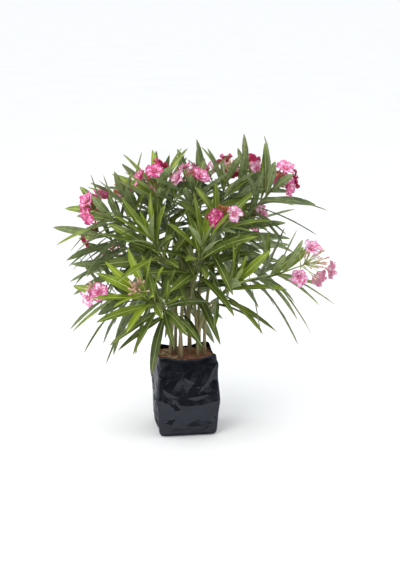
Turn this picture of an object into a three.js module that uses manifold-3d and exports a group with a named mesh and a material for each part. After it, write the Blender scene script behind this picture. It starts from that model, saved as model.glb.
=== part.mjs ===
// A flowering oleander bush in a black film grow bag, in millimetres with +Z up.
// The origin is on the bag's flat underside, below the middle of the stems, and +Y points away from the
// viewer's side.
// Eleven stems rise from the substrate. Each carries a leader shoot, and most carry side shoots on boughs.
// A shoot is one mass of foliage: a stem with whorls of three leaves and, on most, a head of blooms.

import * as THREE from "three";
import { mergeVertices } from "three/addons/utils/BufferGeometryUtils.js";
import Module from "manifold-3d";

const wasm = await Module();
wasm.setup();

const { Vector3, MathUtils } = THREE;
const { degToRad, lerp, clamp } = MathUtils;

// Grow bag
const BAG_HEIGHT = 190; // of the rim at the middle of each side
const BAG_WIDTH = 146; // of its front at its widest
const BAG_DEPTH = 134;
const BAG_CORNER = 16; // exponent of the rounded square section
const BAG_FOOT_SHARE = 0.91; // of the widths, at the underside
const BAG_RIM_SHARE = 0.93;
const BAG_BELLY = 0.085; // how much further it swells in between
const BAG_FRONT = [[0, 0], [0.05, 0.1], [0.42, 0.15], [1, -0.08]]; // and its front besides, by share of height
const BAG_TURN = 9; // degrees that it stands turned to the right
const BAG_SHIFT = -7; // it slumps this far to the left of the stems
const FILM = 1.4; // wall, thicker than the real film
const RIM_EAR = 9; // the rim's four corners stand this much higher
const BAG_SIDES = 24;
const BAG_LEVELS = 7;

// Substrate
const SOIL_TOP = 187;
const SOIL_GAP = 0.4; // between the substrate and the film

// Limbs
const SEAT_GAP = 0.3; // between a limb and what it grows from
const STEM_RADIUS = 4.3;
const STEM_FLARE = 1.25; // the foot's radius, in stem radii
const FLARE_FALL = 22; // how fast the flare dies away up the stem
const BOUGH_RADIUS = 3.5;
const FORK_REACH = 30; // a bough may lie close to its stem this far from where it leaves it
const SHOOT_RADIUS = 3.6; // corners of its three-sided section
const SHOOT_TIP_RADIUS = 2.6;
const LIMB_BOWS = [
  [0, 0], [1, 0], [-1, 0], [0, 1], [0, -1], [1, 1], [-1, 1], [2, 0], [-2, 0], [2, 1], [-2, 1], [0, 2],
  [3, 0], [-3, 0], [3, 1], [-3, 1], [1, -1], [-1, -1], [2, -1], [-2, -1], [3, 2], [-3, 2], [4, 0], [-4, 0],
  [4, 1], [-4, 1], [5, 0], [-5, 0],
]; // steps sideways and outwards
const BOW_STEP = 9;
const SHOOT_SWEEP = 14; // degrees that a shoot rises between its foot and its tip
const INTERNODE = 15.5; // between one whorl and the next

// Leaves
const LEAVES_PER_WHORL = 3;
const LEAF_LENGTH = 146;
const LEAF_WIDTH = 22;
const LEAF_THICKNESS = 1.8; // of the keel under the midrib
const LEAF_STATIONS = [0, 0.3, 0.66, 1]; // shares of the length
const LEAF_HALF_WIDTHS = [0.2, 0.94, 0.88, 0]; // shares of the half width
const PETIOLE_HEIGHT = 3.5; // of a leaf's foot on the stem

// Steps of turn round the stem and of tilt from it that a leaf tries before it is left out.
const LEAF_TRIES = [
  [0, 0], [1, 0], [-1, 0], [0, 1], [2, 0], [-2, 0], [0, -1], [1, 1], [-1, 1], [3, 0], [-3, 0], [0, 2],
  [2, 1], [-2, 1], [0, -2], [3, 1], [-3, 1],
];
const TURN_STEP = 10; // degrees
const TILT_STEP = 11; // degrees

// Blooms and buds
const BLOOM_RADIUS = 25;
const BLOOM_DEPTH = 18; // from the rim down to the foot
const THROAT_SHARE = 0.45; // of the depth, sunk at the middle
const BLOOM_FOOT_RADIUS = 2.6;
const PETALS = 5;
const HEAD_RADIUS = 2; // of the flower stalk, whose pedicels stand in whorls of three like the leaves
const HEAD_START = 19; // from the last leaves to the lowest pedicels, where no stalk is given
const HEAD_SPACING = 6;
const SCAR_HEIGHT = 3; // of a pedicel's foot on the stalk
const BARE_TIP = 14; // of a shoot with no head, past its last leaves
const HEAD_SPREAD = 70; // degrees from the stalk to the lowest pedicels, where no spread is given
const PEDICEL = 23; // where no pedicel is given
const PEDICEL_RADIUS = 1.2;
const BUD_LENGTH = 15;
const BUD_RADIUS = 2.8;

// Steps of turn, and shares of the length, that a pedicel tries.
const PEDICEL_TRIES = [[0, 1], [1, 1], [-1, 1], [0, 1.35], [2, 1], [-2, 1], [1, 1.35], [-1, 1.35]];
const PEDICEL_STEP = 16; // degrees

const CLEARANCE = 1.6; // between solids of two masses
const LIMB_CLEARANCE = 1.5; // between two limbs
const OWN_SHARE = 0.12; // leaves of one shoot keep clear of each other past this share of their length

// Azimuth is in degrees from +X towards +Y. Reach and height are those of a shoot's topmost whorl, and lean
// is its tilt from upright. Fork is the share of the stem's curve at which a side shoot's bough leaves it.
// A head step turns a shoot's head by a third of a turn.
const STEMS = [
  {
    foot: { azimuth: -171, reach: 42 },
    leader: {
      name: "left_upper", azimuth: -172, reach: 190, height: 532, lean: 57,
      whorls: 7, blooms: 3, buds: 5,
    },
    sides: [
      {
        name: "left_low", fork: 0.12, azimuth: -176, reach: 184, height: 338, lean: 76,
        whorls: 7, blooms: 2, buds: 6,
      },
    ],
  },
  {
    foot: { azimuth: 166, reach: 31 },
    leader: {
      name: "left_crown", azimuth: 171, reach: 136, height: 552, lean: 27,
      whorls: 7, blooms: 1, buds: 7,
    },
    sides: [
      {
        name: "left_back", fork: 0.4, azimuth: 159, reach: 212, height: 462, lean: 62,
        whorls: 7, blooms: 1, buds: 3,
      },
    ],
  },
  {
    foot: { azimuth: -150, reach: 22 },
    leader: {
      name: "crown_left", azimuth: -158, reach: 74, height: 592, lean: 12,
      whorls: 8, blooms: 4, buds: 2,
    },
    sides: [
      {
        name: "front_left", fork: 0.4, azimuth: -127, reach: 128, height: 490, lean: 30,
        whorls: 7, blooms: 0, buds: 0,
      },
    ],
  },
  {
    foot: { azimuth: 60, reach: 12 },
    leader: {
      name: "crown", azimuth: -70, reach: 34, height: 588, lean: 8,
      whorls: 8, blooms: 3, buds: 3,
    },
    sides: [
      {
        name: "front_centre", fork: 0.32, azimuth: -72, reach: 112, height: 470, lean: 24,
        whorls: 6, blooms: 0, buds: 0,
      },
    ],
  },
  {
    foot: { azimuth: 12, reach: 25 },
    leader: {
      name: "crown_right", azimuth: 24, reach: 100, height: 596, lean: 20,
      whorls: 7, blooms: 2, buds: 5,
    },
    sides: [
      {
        name: "front_right", fork: 0.45, azimuth: -42, reach: 102, height: 516, lean: 30,
        whorls: 7, blooms: 2, buds: 4,
      },
    ],
  },
  {
    foot: { azimuth: 38, reach: 36 },
    leader: {
      name: "right_crown", azimuth: 28, reach: 158, height: 594, lean: 30,
      whorls: 7, blooms: 2, buds: 2,
    },
    sides: [
      {
        name: "right_back", fork: 0.4, azimuth: 34, reach: 172, height: 492, lean: 44,
        whorls: 6, blooms: 1, buds: 2,
      },
    ],
  },
  {
    foot: { azimuth: -8, reach: 41 },
    leader: {
      name: "right_upper", azimuth: -3, reach: 196, height: 588, lean: 38,
      whorls: 5, blooms: 6, buds: 3, headStep: 1,
    },
    sides: [
      {
        name: "right_low", fork: 0.22, azimuth: -9, reach: 228, height: 398, lean: 68,
        whorls: 6, blooms: 4, buds: 5, stalk: 46, pedicel: 48, spread: 90, headStep: 2,
      },
    ],
  },
  {
    foot: { azimuth: -118, reach: 31 },
    leader: {
      name: "front_low", azimuth: -126, reach: 164, height: 366, lean: 50,
      whorls: 8, blooms: 0, buds: 6,
    },
    sides: [],
  },
  {
    foot: { azimuth: -42, reach: 33 },
    leader: {
      name: "right_front_low", azimuth: -34, reach: 126, height: 374, lean: 42,
      whorls: 4, blooms: 0, buds: 0,
    },
    sides: [],
  },
  {
    foot: { azimuth: 128, reach: 30 },
    leader: {
      name: "back_left_crown", azimuth: 122, reach: 140, height: 556, lean: 32,
      whorls: 8, blooms: 2, buds: 4,
    },
    sides: [
      {
        name: "back_left_low", fork: 0.2, azimuth: 136, reach: 226, height: 388, lean: 66,
        whorls: 7, blooms: 1, buds: 4,
      },
    ],
  },
  {
    foot: { azimuth: 84, reach: 33 },
    leader: {
      name: "back_crown", azimuth: 76, reach: 156, height: 566, lean: 34,
      whorls: 8, blooms: 3, buds: 3,
    },
    sides: [
      {
        name: "back_right_low", fork: 0.3, azimuth: 58, reach: 236, height: 420, lean: 62,
        whorls: 6, blooms: 2, buds: 4,
      },
      {
        name: "back_low", fork: 0.1, azimuth: 98, reach: 226, height: 330, lean: 70,
        whorls: 7, blooms: 0, buds: 0,
      },
    ],
  },
];

const MATERIALS = {
  film: new THREE.MeshStandardMaterial({ color: 0x14161c, roughness: 0.28, metalness: 0 }),
  substrate: new THREE.MeshStandardMaterial({ color: 0x5a3323, roughness: 0.95, metalness: 0 }),
  bark: new THREE.MeshStandardMaterial({ color: 0x7d7a4c, roughness: 0.75, metalness: 0 }),
  foliage: new THREE.MeshStandardMaterial({ color: 0x4c6b2c, roughness: 0.5, metalness: 0 }),
};

// A number from 0 to 1 that depends only on the keys.
function chance(...keys) {
  let h = 2166136261;
  for (const key of keys) {
    h = Math.imul(h ^ key, 16777619) >>> 0;
    h = Math.imul(h ^ (h >>> 15), 2246822519) >>> 0;
    h = (h ^ (h >>> 13)) >>> 0;
  }
  return h / 4294967296;
}

// From -1 to 1, in the same way.
const sway = (...keys) => 2 * chance(...keys) - 1;

const along = (from, direction, distance) => from.clone().addScaledVector(direction, distance);

// The direction at an azimuth and a tilt from upright, both in degrees.
function heading(azimuth, lean) {
  const a = degToRad(azimuth);
  const l = degToRad(lean);
  return new Vector3(Math.cos(a) * Math.sin(l), Math.sin(a) * Math.sin(l), Math.cos(l));
}

// Two unit vectors square to the axis, the first as near to +X as it can be.
function across(axis) {
  const first = along(new Vector3(1, 0, 0), axis, -axis.x).normalize();
  return [first, new Vector3().crossVectors(axis, first)];
}

// The direction at a tilt from the axis and a turn round it, both in degrees.
function splay(axis, tilt, turn) {
  const [first, second] = across(axis);
  const round = degToRad(turn);
  const outward = first.multiplyScalar(Math.cos(round)).addScaledVector(second, Math.sin(round));
  const away = degToRad(tilt);
  return axis.clone().multiplyScalar(Math.cos(away)).addScaledVector(outward, Math.sin(away));
}

// The upward and leftward unit vectors of something that leaves an axis in a direction.
function liftAndLeft(direction, axis) {
  const lift = along(axis, direction, -axis.dot(direction)).normalize();
  return [lift, new Vector3().crossVectors(direction, lift)];
}

// A three.js geometry as a solid for joining and cutting.
function solidOf(geometry) {
  const bare = geometry.clone();
  bare.deleteAttribute("normal");
  bare.deleteAttribute("uv");
  const merged = mergeVertices(bare, 1e-4);
  return new wasm.Manifold(
    new wasm.Mesh({
      numProp: 3,
      vertProperties: merged.attributes.position.array,
      triVerts: new Uint32Array(merged.index.array),
    }),
  );
}

function geometryOf(solid) {
  const mesh = solid.getMesh();
  return new THREE.BufferGeometry()
    .setAttribute("position", new THREE.BufferAttribute(mesh.vertProperties, 3))
    .setIndex(new THREE.BufferAttribute(mesh.triVerts, 1));
}

// A closed cylinder whose every corner is put where place(share along, section x, section z) says.
function swept(sides, steps, place) {
  const shape = new THREE.CylinderGeometry(1, 1, 1, sides, steps);
  const corner = shape.attributes.position;
  for (let i = 0; i < corner.count; i++) {
    const at = place(corner.getY(i) + 0.5, corner.getX(i), corner.getZ(i));
    corner.setXYZ(i, at.x, at.y, at.z);
  }
  return solidOf(shape);
}

// A limb along its curve, its radius given for each share of its length. Its end faces are square to the
// directions that it leaves and arrives in.
function limbSolid({ curve, leaving, arriving }, radiusAt, sides, steps) {
  return swept(sides, steps, (share, x, z) => {
    const axis = share < 0.001 ? leaving : share > 0.999 ? arriving : curve.getTangent(share);
    const [first, second] = across(axis);
    const radius = radiusAt(share);
    return curve.getPoint(share).addScaledVector(first, z * radius).addScaledVector(second, x * radius);
  });
}

// Corners and faces of one closed surface, each face seen anticlockwise from outside.
class Surface {
  corners = [];
  faces = [];

  ring(points) {
    return points.map((point) => this.corners.push(point.x, point.y, point.z) / 3 - 1);
  }

  // A prism's side, between two rings that stand corner over corner.
  band(lower, upper) {
    lower.forEach((corner, i) => {
      const next = (i + 1) % lower.length;
      this.faces.push([corner, lower[next], upper[next]], [corner, upper[next], upper[i]]);
    });
  }

  // The side between a ring and one above it turned by half a corner. The faces with one corner below are
  // left open and given back, each as its lower corner, its right one and its left one.
  twist(lower, upper) {
    return lower.map((corner, i) => {
      const before = (i + lower.length - 1) % lower.length;
      this.faces.push([corner, lower[(i + 1) % lower.length], upper[i]]);
      return [corner, upper[i], upper[before]];
    });
  }

  // Closes a ring on a point.
  close(ring, point) {
    const [tip] = this.ring([point]);
    ring.forEach((corner, i) => this.faces.push([corner, ring[(i + 1) % ring.length], tip]));
  }

  // Grows a tube out of an open face, through sections of three points and on to its tip.
  sprout(face, { sections, tip }) {
    let ring = face;
    for (const points of sections) {
      const next = this.ring(points);
      this.band(ring, next);
      ring = next;
    }
    this.close(ring, tip);
  }

  solid() {
    const shape = new THREE.BufferGeometry();
    shape.setAttribute("position", new THREE.Float32BufferAttribute(this.corners, 3));
    shape.setIndex(this.faces.flat());
    return solidOf(shape);
  }
}

// The leafy end of a limb: a gentle rise from the bough's tip to the topmost whorl.
function shootCurve(shoot) {
  const tip = heading(shoot.azimuth, 90).multiplyScalar(shoot.reach).setZ(shoot.height);
  const half = (shoot.whorls * INTERNODE) / 2;
  const knee = along(tip, heading(shoot.azimuth, shoot.lean), -half);
  const foot = along(knee, heading(shoot.azimuth, shoot.lean + SHOOT_SWEEP), -half);
  return new THREE.QuadraticBezierCurve3(foot, knee, tip);
}

// A limb that leaves one point in one direction and arrives at another in another. It bows sideways or
// outwards until it passes clear of the limbs there already, but for those it may touch.
function limbPath(from, leaving, to, arriving, radiusAt, mayTouch) {
  const pull = from.distanceTo(to) / 3;
  const outward = new Vector3(to.x, to.y, 0).normalize();
  const sideways = new Vector3(-outward.y, outward.x, 0);
  for (const [side, out] of LIMB_BOWS) {
    const bow = outward.clone().multiplyScalar(out * BOW_STEP).addScaledVector(sideways, side * BOW_STEP);
    const first = along(from, leaving, pull).add(bow);
    const second = along(to, arriving, -pull).addScaledVector(bow, 0.6);
    const curve = new THREE.CubicBezierCurve3(from, first, second, to);
    const posts = postsAlong(curve, radiusAt);
    const clear = room.posts.every((post) => mayTouch(post) || posts.every((own) =>
      own.at.distanceTo(post.at) > own.radius + post.radius + LIMB_CLEARANCE));
    if (clear) return { curve, leaving, arriving };
  }
  throw new Error("no way for a limb to " + to.toArray().map(Math.round));
}

// Everything placed so far, so that what comes next can be kept clear of it.
const room = { posts: [], blades: [], cones: [] };

// A limb as posts: points on its axis, each with the limb's radius there.
function postsAlong(curve, radiusAt) {
  const count = Math.ceil(curve.getLength() / 4);
  const shares = Array.from({ length: count + 1 }, (_, i) => i / count);
  return shares.map((share) => ({ at: curve.getPoint(share), radius: radiusAt(share) }));
}

function addPosts(owner, part, curve, radiusAt) {
  for (const post of postsAlong(curve, radiusAt)) room.posts.push({ owner, part, ...post });
}

// A leaf's midrib, edges and flat stretches. It leaves the stem straight and sags under its own weight.
function leafBlade(root, direction, axis, roll, length, sag) {
  const [lift, left] = liftAndLeft(direction, axis);
  const side = left.multiplyScalar(Math.cos(roll)).addScaledVector(lift, Math.sin(roll));
  const size = length / LEAF_LENGTH;
  const rib = LEAF_STATIONS.map((share) => {
    const point = along(root, direction, share * length);
    point.z -= 0.5 * sag * share * share * length;
    return point;
  });
  const halfWidths = LEAF_HALF_WIDTHS.map((share) => (share * LEAF_WIDTH * size) / 2);
  const flats = [];
  for (let i = 0; i + 1 < rib.length; i++) {
    const run = rib[i + 1].clone().sub(rib[i]);
    const reach = run.length();
    const forward = run.divideScalar(reach);
    const normal = new Vector3().crossVectors(side, forward).normalize();
    const wide = [halfWidths[i], halfWidths[i + 1]];
    flats.push({ at: rib[i], forward, normal, reach, wide, share: LEAF_STATIONS[i] });
  }
  const middle = rib[1].clone().add(rib[2]).multiplyScalar(0.5);
  return { rib, side, flats, halfWidths, middle, size, length };
}

// Points spread over a blade, each with its share of the leaf's length.
function bladePoints(blade) {
  const points = [];
  for (const flat of blade.flats) {
    const steps = Math.ceil(flat.reach / 5);
    for (let i = 0; i <= steps; i++) {
      const run = (i / steps) * flat.reach;
      const wide = lerp(flat.wide[0], flat.wide[1], i / steps);
      const share = flat.share + run / blade.length;
      for (const edge of [-1, -0.5, 0, 0.5, 1]) {
        const middle = along(flat.at, flat.forward, run);
        points.push({ at: middle.addScaledVector(blade.side, edge * wide), share });
      }
    }
  }
  return points;
}

// True where a ball at a point comes too near to one flat stretch of a blade.
function inFlat(flat, side, point, radius) {
  const from = point.clone().sub(flat.at);
  const run = from.dot(flat.forward);
  const reach = radius + CLEARANCE;
  if (run < -reach || run > flat.reach + reach) return false;
  if (Math.abs(from.dot(flat.normal)) > LEAF_THICKNESS + reach) return false;
  const wide = lerp(flat.wide[0], flat.wide[1], clamp(run / flat.reach, 0, 1));
  return Math.abs(from.dot(side)) < wide + reach;
}

// True where a ball at a point comes too near to a bloom.
function inCone(cone, point, radius) {
  const from = point.clone().sub(cone.at);
  const depth = -from.dot(cone.facing);
  if (depth < -radius - CLEARANCE - 3 || depth > BLOOM_DEPTH + radius) return false;
  const out = Math.sqrt(Math.max(from.lengthSq() - depth * depth, 0));
  const wide = lerp(cone.radius, BLOOM_FOOT_RADIUS, clamp(depth / BLOOM_DEPTH, 0, 1));
  return out < wide + radius + CLEARANCE;
}

// True if points of one blade come too near to another blade, past the given share of both.
function bladesMeet(blade, points, least) {
  const flats = blade.flats.filter((flat) => flat.share >= least || least === 0);
  return points.some((p) => p.share >= least && flats.some((flat) => inFlat(flat, blade.side, p.at, 0)));
}

// A leaf fits if it keeps clear of all limbs, stalks, blooms and leaves, but for its own stem.
function leafFits(owner, blade) {
  const points = bladePoints(blade);
  const near = (at, extra) => at.distanceTo(blade.middle) < blade.length * 0.6 + extra;
  for (const post of room.posts) {
    if ((post.owner === owner && post.part === "stem") || !near(post.at, 12)) continue;
    if (blade.flats.some((flat) => inFlat(flat, blade.side, post.at, post.radius))) return false;
  }
  for (const cone of room.cones) {
    if (near(cone.at, cone.radius + 12) && points.some((point) => inCone(cone, point.at, 0))) return false;
  }
  for (const other of room.blades) {
    if (!near(other.blade.middle, other.blade.length * 0.6)) continue;
    const least = other.owner === owner ? OWN_SHARE : 0;
    if (bladesMeet(other.blade, points, least) || bladesMeet(blade, other.points, least)) return false;
  }
  room.blades.push({ owner, blade, points });
  return true;
}

// A bloom fits if it meets nothing of another mass and faces away from the other blooms of its own.
function bloomFits(owner, cone) {
  if (room.posts.some((post) => post.owner !== owner && inCone(cone, post.at, post.radius))) return false;
  return room.cones.every((other) => {
    const share = other.owner === owner ? 0.78 : 1.1;
    return other.at.distanceTo(cone.at) > share * (other.radius + cone.radius);
  });
}

// A pedicel fits if neither it nor its bud comes too near to another mass.
function pedicelFits(owner, from, to) {
  for (let i = 0; i <= 10; i++) {
    const at = from.clone().lerp(to, i / 10);
    if (room.cones.some((cone) => cone.owner !== owner && inCone(cone, at, BUD_RADIUS))) return false;
    const least = BUD_RADIUS + CLEARANCE;
    const meets = (post) => post.owner !== owner && at.distanceTo(post.at) < post.radius + least;
    if (room.posts.some(meets)) return false;
  }
  return true;
}

// The blooms and buds at a shoot's tip, the topmost first, each with the whorl and the face it grows from.
function headPlan(shoot, order) {
  const axis = shoot.curve.getTangent(1);
  const total = shoot.blooms + shoot.buds;
  const whorls = Math.ceil(total / 3);
  const items = [];
  for (let i = 0; i < total; i++) {
    const whorl = whorls - 1 - Math.floor(i / 3);
    const opens = Math.floor(((i + 1) * shoot.blooms) / total) > Math.floor((i * shoot.blooms) / total);
    const root = along(shoot.curve.getPoint(1), axis, (shoot.stalk ?? HEAD_START) + whorl * HEAD_SPACING);
    const place = (i + (shoot.headStep ?? 0)) % 3;
    const tilt = lerp(22, shoot.spread ?? HEAD_SPREAD, (i + 0.5) / total) + 8 * sway(order, 51, i);
    const start = shoot.phase + 60 * (shoot.whorls + whorl) + 120 * place + 10 * sway(order, 52, i);
    const radius = BLOOM_RADIUS * (0.9 + 0.12 * chance(order, 53, i));
    for (const [step, share] of PEDICEL_TRIES) {
      const facing = splay(axis, tilt, start + PEDICEL_STEP * step);
      const vary = 0.85 + 0.3 * chance(order, 54, i);
      const length = (shoot.pedicel ?? PEDICEL) * vary * share * (opens ? 1 : 0.8);
      const end = along(root, facing, length + (opens ? 0 : BUD_LENGTH));
      if (!pedicelFits(shoot.name, root, end)) continue;
      const rim = along(root, facing, length + BLOOM_DEPTH);
      const cone = opens && { owner: shoot.name, at: rim, facing, radius };
      if (cone && !bloomFits(shoot.name, cone)) continue;
      if (cone) room.cones.push(cone);
      addPosts(shoot.name, "head", new THREE.LineCurve3(along(root, facing, 5), end), () => BUD_RADIUS);
      items.push({ whorl, place, root, facing, length, cone });
      break;
    }
  }
  return { whorls, items };
}

// Where on the shoot's curve a whorl of leaves stands.
const whorlShare = (shoot, whorl) => (whorl + 0.7) / (shoot.whorls - 0.3);

// Puts the leaves of one whorl where they find room.
function plantWhorl(shoot, order, whorl) {
  const share = whorlShare(shoot, whorl);
  const axis = shoot.curve.getTangent(share);
  for (let k = 0; k < LEAVES_PER_WHORL; k++) {
    const keys = [order, whorl, k];
    const tilt = lerp(78, shoot.blooms > 0 ? 42 : 26, share) + 7 * sway(...keys, 1);
    const length = LEAF_LENGTH * (0.88 + 0.16 * Math.sin(Math.PI * share)) * (1 + 0.08 * sway(...keys, 2));
    const sag = lerp(0.5, 0.1, share) + 0.14 * sway(...keys, 3);
    const roll = degToRad(16 * sway(...keys, 4));
    const start = shoot.phase + 60 * whorl + 120 * k;
    const root = along(shoot.curve.getPoint(share), splay(axis, 90, start), shoot.radiusAt(share) / 2);
    for (const [turn, tip] of LEAF_TRIES) {
      const round = start + 8 * sway(...keys, 5) + TURN_STEP * turn;
      const direction = splay(axis, tilt + TILT_STEP * tip, round);
      const blade = leafBlade(root, direction, axis, roll, length, sag);
      if (leafFits(shoot.name, blade)) {
        shoot.leaves[whorl][k] = blade;
        break;
      }
    }
  }
}

// A leaf as sections for a sprout, each with its keel first, then its right edge and its left one.
function leafSprout(blade) {
  const sections = [1, 2].map((i) => [
    along(blade.rib[i], blade.flats[i].normal, -LEAF_THICKNESS * blade.size),
    along(blade.rib[i], blade.side, -blade.halfWidths[i]),
    along(blade.rib[i], blade.side, blade.halfWidths[i]),
  ]);
  return { sections, tip: blade.rib[3] };
}

// A pedicel that ends inside its bloom or swells into its bud.
function pedicelSprout({ root, facing, length, cone }, axis) {
  const [lift, left] = liftAndLeft(facing, axis);
  const section = (distance, radius) => {
    const centre = along(root, facing, distance);
    return [0, 120, 240].map((turn) => {
      const down = -Math.cos(degToRad(turn)) * radius;
      return along(centre, lift, down).addScaledVector(left, -Math.sin(degToRad(turn)) * radius);
    });
  };
  const sections = [section(6, PEDICEL_RADIUS), section(length, PEDICEL_RADIUS)];
  if (cone) return { sections, tip: along(root, facing, length + 0.3 * BLOOM_DEPTH) };
  sections.push(section(length + 0.45 * BUD_LENGTH, BUD_RADIUS));
  return { sections, tip: along(root, facing, length + BUD_LENGTH) };
}

// A funnel with five rounded lobes, sunk at its throat, that narrows to a point at its foot.
function bloomSolid(cone) {
  const [first, second] = across(cone.facing);
  return swept(2 * PETALS, 1, (share, x, z) => {
    if (share < 0.5) return along(cone.at, cone.facing, -BLOOM_DEPTH);
    if (Math.hypot(x, z) < 1e-6) return along(cone.at, cone.facing, -BLOOM_DEPTH * THROAT_SHARE);
    const turn = Math.atan2(x, z);
    const radius = cone.radius * (0.84 + 0.16 * Math.cos(PETALS * turn));
    return along(cone.at, first, Math.cos(turn) * radius).addScaledVector(second, Math.sin(turn) * radius);
  });
}

// A shoot from its foot up, whorl by whorl, with a leaf or a pedicel out of each face that carries one.
function massSolid(shoot) {
  const surface = new Surface();
  let turn = shoot.phase;
  const section = (centre, axis, radius) =>
    surface.ring([0, 120, 240].map((step) => along(centre, splay(axis, 90, turn + step), radius)));
  let ring = section(shoot.curve.getPoint(0), shoot.curve.getTangent(0), shoot.radiusAt(0));
  surface.faces.push([ring[0], ring[2], ring[1]]);
  const growWhorl = (centre, axis, radius, height, sprouts) => {
    const lower = section(along(centre, axis, -height), axis, radius);
    surface.band(ring, lower);
    turn += 60;
    ring = section(centre, axis, radius);
    surface.twist(lower, ring).forEach((face, k) => {
      if (sprouts[k]) surface.sprout(face, sprouts[k]);
      else surface.faces.push(face);
    });
  };
  shoot.leaves.forEach((blades, whorl) => {
    const share = whorlShare(shoot, whorl);
    const sprouts = blades.map((blade) => blade && leafSprout(blade));
    const centre = shoot.curve.getPoint(share);
    growWhorl(centre, shoot.curve.getTangent(share), shoot.radiusAt(share), PETIOLE_HEIGHT, sprouts);
  });
  const axis = shoot.curve.getTangent(1);
  const top = shoot.curve.getPoint(1);
  const { whorls, items } = shoot.head;
  const stalk = shoot.stalk ?? HEAD_START;
  for (let whorl = 0; whorl < whorls; whorl++) {
    const sprouts = [null, null, null];
    for (const item of items) {
      if (item.whorl === whorl) sprouts[item.place] = pedicelSprout(item, axis);
    }
    growWhorl(along(top, axis, stalk + whorl * HEAD_SPACING), axis, HEAD_RADIUS, SCAR_HEIGHT, sprouts);
  }
  surface.close(ring, along(top, axis, whorls > 0 ? stalk + whorls * HEAD_SPACING : BARE_TIP));
  let mass = surface.solid();
  for (const item of items) {
    if (item.cone) mass = mass.add(bloomSolid(item.cone));
  }
  return mass;
}

// How much further the bag's front stands out at a share of its height.
function frontSag(share) {
  const next = Math.max(BAG_FRONT.findIndex(([level]) => level >= share), 1);
  const [low, from] = BAG_FRONT[next - 1];
  const [high, to] = BAG_FRONT[next];
  return lerp(from, to, (share - low) / (high - low));
}

// The bag's outer surface at a turn round it and a share of its height, with its folds.
function bagPoint(turn, share, inset) {
  const belly = Math.pow(Math.max(Math.sin(Math.PI * Math.pow(share, 0.85)), 0), 0.45);
  const swell = lerp(BAG_FOOT_SHARE, BAG_RIM_SHARE, share) + BAG_BELLY * belly;
  const c = Math.cos(turn);
  const s = Math.sin(turn);
  const sum = Math.pow(Math.abs(c), BAG_CORNER) + Math.pow(Math.abs(s), BAG_CORNER);
  const section = Math.pow(sum, -1 / BAG_CORNER);
  const fold = 1 + 0.012 * Math.sin(3 * turn + 7 * share) * Math.sin(Math.PI * share);
  const scale = section * swell * fold;
  const wide = (BAG_WIDTH / 2) * scale - inset;
  const sag = 1 + frontSag(share) * Math.max(-s, 0);
  const deep = (BAG_DEPTH / 2) * scale * sag - inset;
  const point = new Vector3(c * wide, s * deep, 0).applyAxisAngle(new Vector3(0, 0, 1), degToRad(BAG_TURN));
  point.x += BAG_SHIFT;
  return point;
}

// How much the rim rises towards its corners.
function rimRise(turn) {
  return RIM_EAR * Math.pow(Math.abs(Math.sin(2 * turn)), 4);
}

function bagWall(inset, floor, top) {
  return swept(BAG_SIDES, BAG_LEVELS, (share, x, z) => {
    const turn = Math.atan2(-z, x);
    const middle = Math.hypot(x, z) < 1e-6;
    const point = middle ? new Vector3(BAG_SHIFT, 0, 0) : bagPoint(turn, share, inset);
    return point.setZ(lerp(floor, top + (middle ? 0 : rimRise(turn)), share));
  });
}

function bagSolid() {
  return bagWall(0, 0, BAG_HEIGHT).subtract(bagWall(FILM, FILM, BAG_HEIGHT + 1));
}

function substrateSolid() {
  const slab = solidOf(new THREE.BoxGeometry(2 * BAG_WIDTH, 2 * BAG_DEPTH, 2 * SOIL_TOP));
  return bagWall(FILM + SOIL_GAP, FILM + SOIL_GAP, BAG_HEIGHT).intersect(slab);
}

const plant = new THREE.Group();

function addNode(name, solid, material) {
  const mesh = new THREE.Mesh(geometryOf(solid), material);
  mesh.name = name;
  plant.add(mesh);
}

// Stems, boughs and shoots are laid out first, so that every leaf can be kept clear of all of them.
const shoots = STEMS.flatMap((stem) => [stem.leader, ...stem.sides]);
shoots.forEach((shoot, order) => {
  shoot.curve = shootCurve(shoot);
  shoot.phase = 360 * chance(order, 77);
  shoot.radiusAt = (share) => lerp(SHOOT_RADIUS, SHOOT_TIP_RADIUS, share);
  shoot.leaves = Array.from({ length: shoot.whorls }, () => [null, null, null]);
  addPosts(shoot.name, "stem", shoot.curve, shoot.radiusAt);
});
for (const stem of STEMS) {
  const { name, curve } = stem.leader;
  const base = heading(stem.foot.azimuth, 90).multiplyScalar(stem.foot.reach).setZ(SOIL_TOP + SEAT_GAP);
  const arriving = curve.getTangent(0);
  const tip = along(curve.getPoint(0), arriving, -SEAT_GAP);
  const flareAt = (share) => 1 + (STEM_FLARE - 1) * Math.exp(-FLARE_FALL * share);
  stem.radiusAt = (share) => lerp(STEM_RADIUS, SHOOT_RADIUS, share) * flareAt(share);
  const own = (post) => post.owner === name;
  stem.path = limbPath(base, new Vector3(0, 0, 1), tip, arriving, stem.radiusAt, own);
  addPosts("stem_" + name, "limb", stem.path.curve, stem.radiusAt);
}
for (const stem of STEMS) {
  for (const side of stem.sides) {
    const fork = stem.path.curve.getPoint(side.fork);
    const rising = stem.path.curve.getTangent(side.fork);
    const arriving = side.curve.getTangent(0);
    const tip = along(side.curve.getPoint(0), arriving, -SEAT_GAP);
    const leaving = tip.clone().sub(fork).normalize().add(rising).normalize();
    side.boughRadiusAt = (share) => lerp(BOUGH_RADIUS, SHOOT_RADIUS, share);
    const parent = "stem_" + stem.leader.name;
    const nearFork = (post) => post.owner === parent && post.at.distanceTo(fork) < FORK_REACH;
    const own = (post) => post.owner === side.name || nearFork(post);
    side.path = limbPath(fork, leaving, tip, arriving, side.boughRadiusAt, own);
    addPosts("bough_" + side.name, "limb", side.path.curve, side.boughRadiusAt);
  }
}

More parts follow.
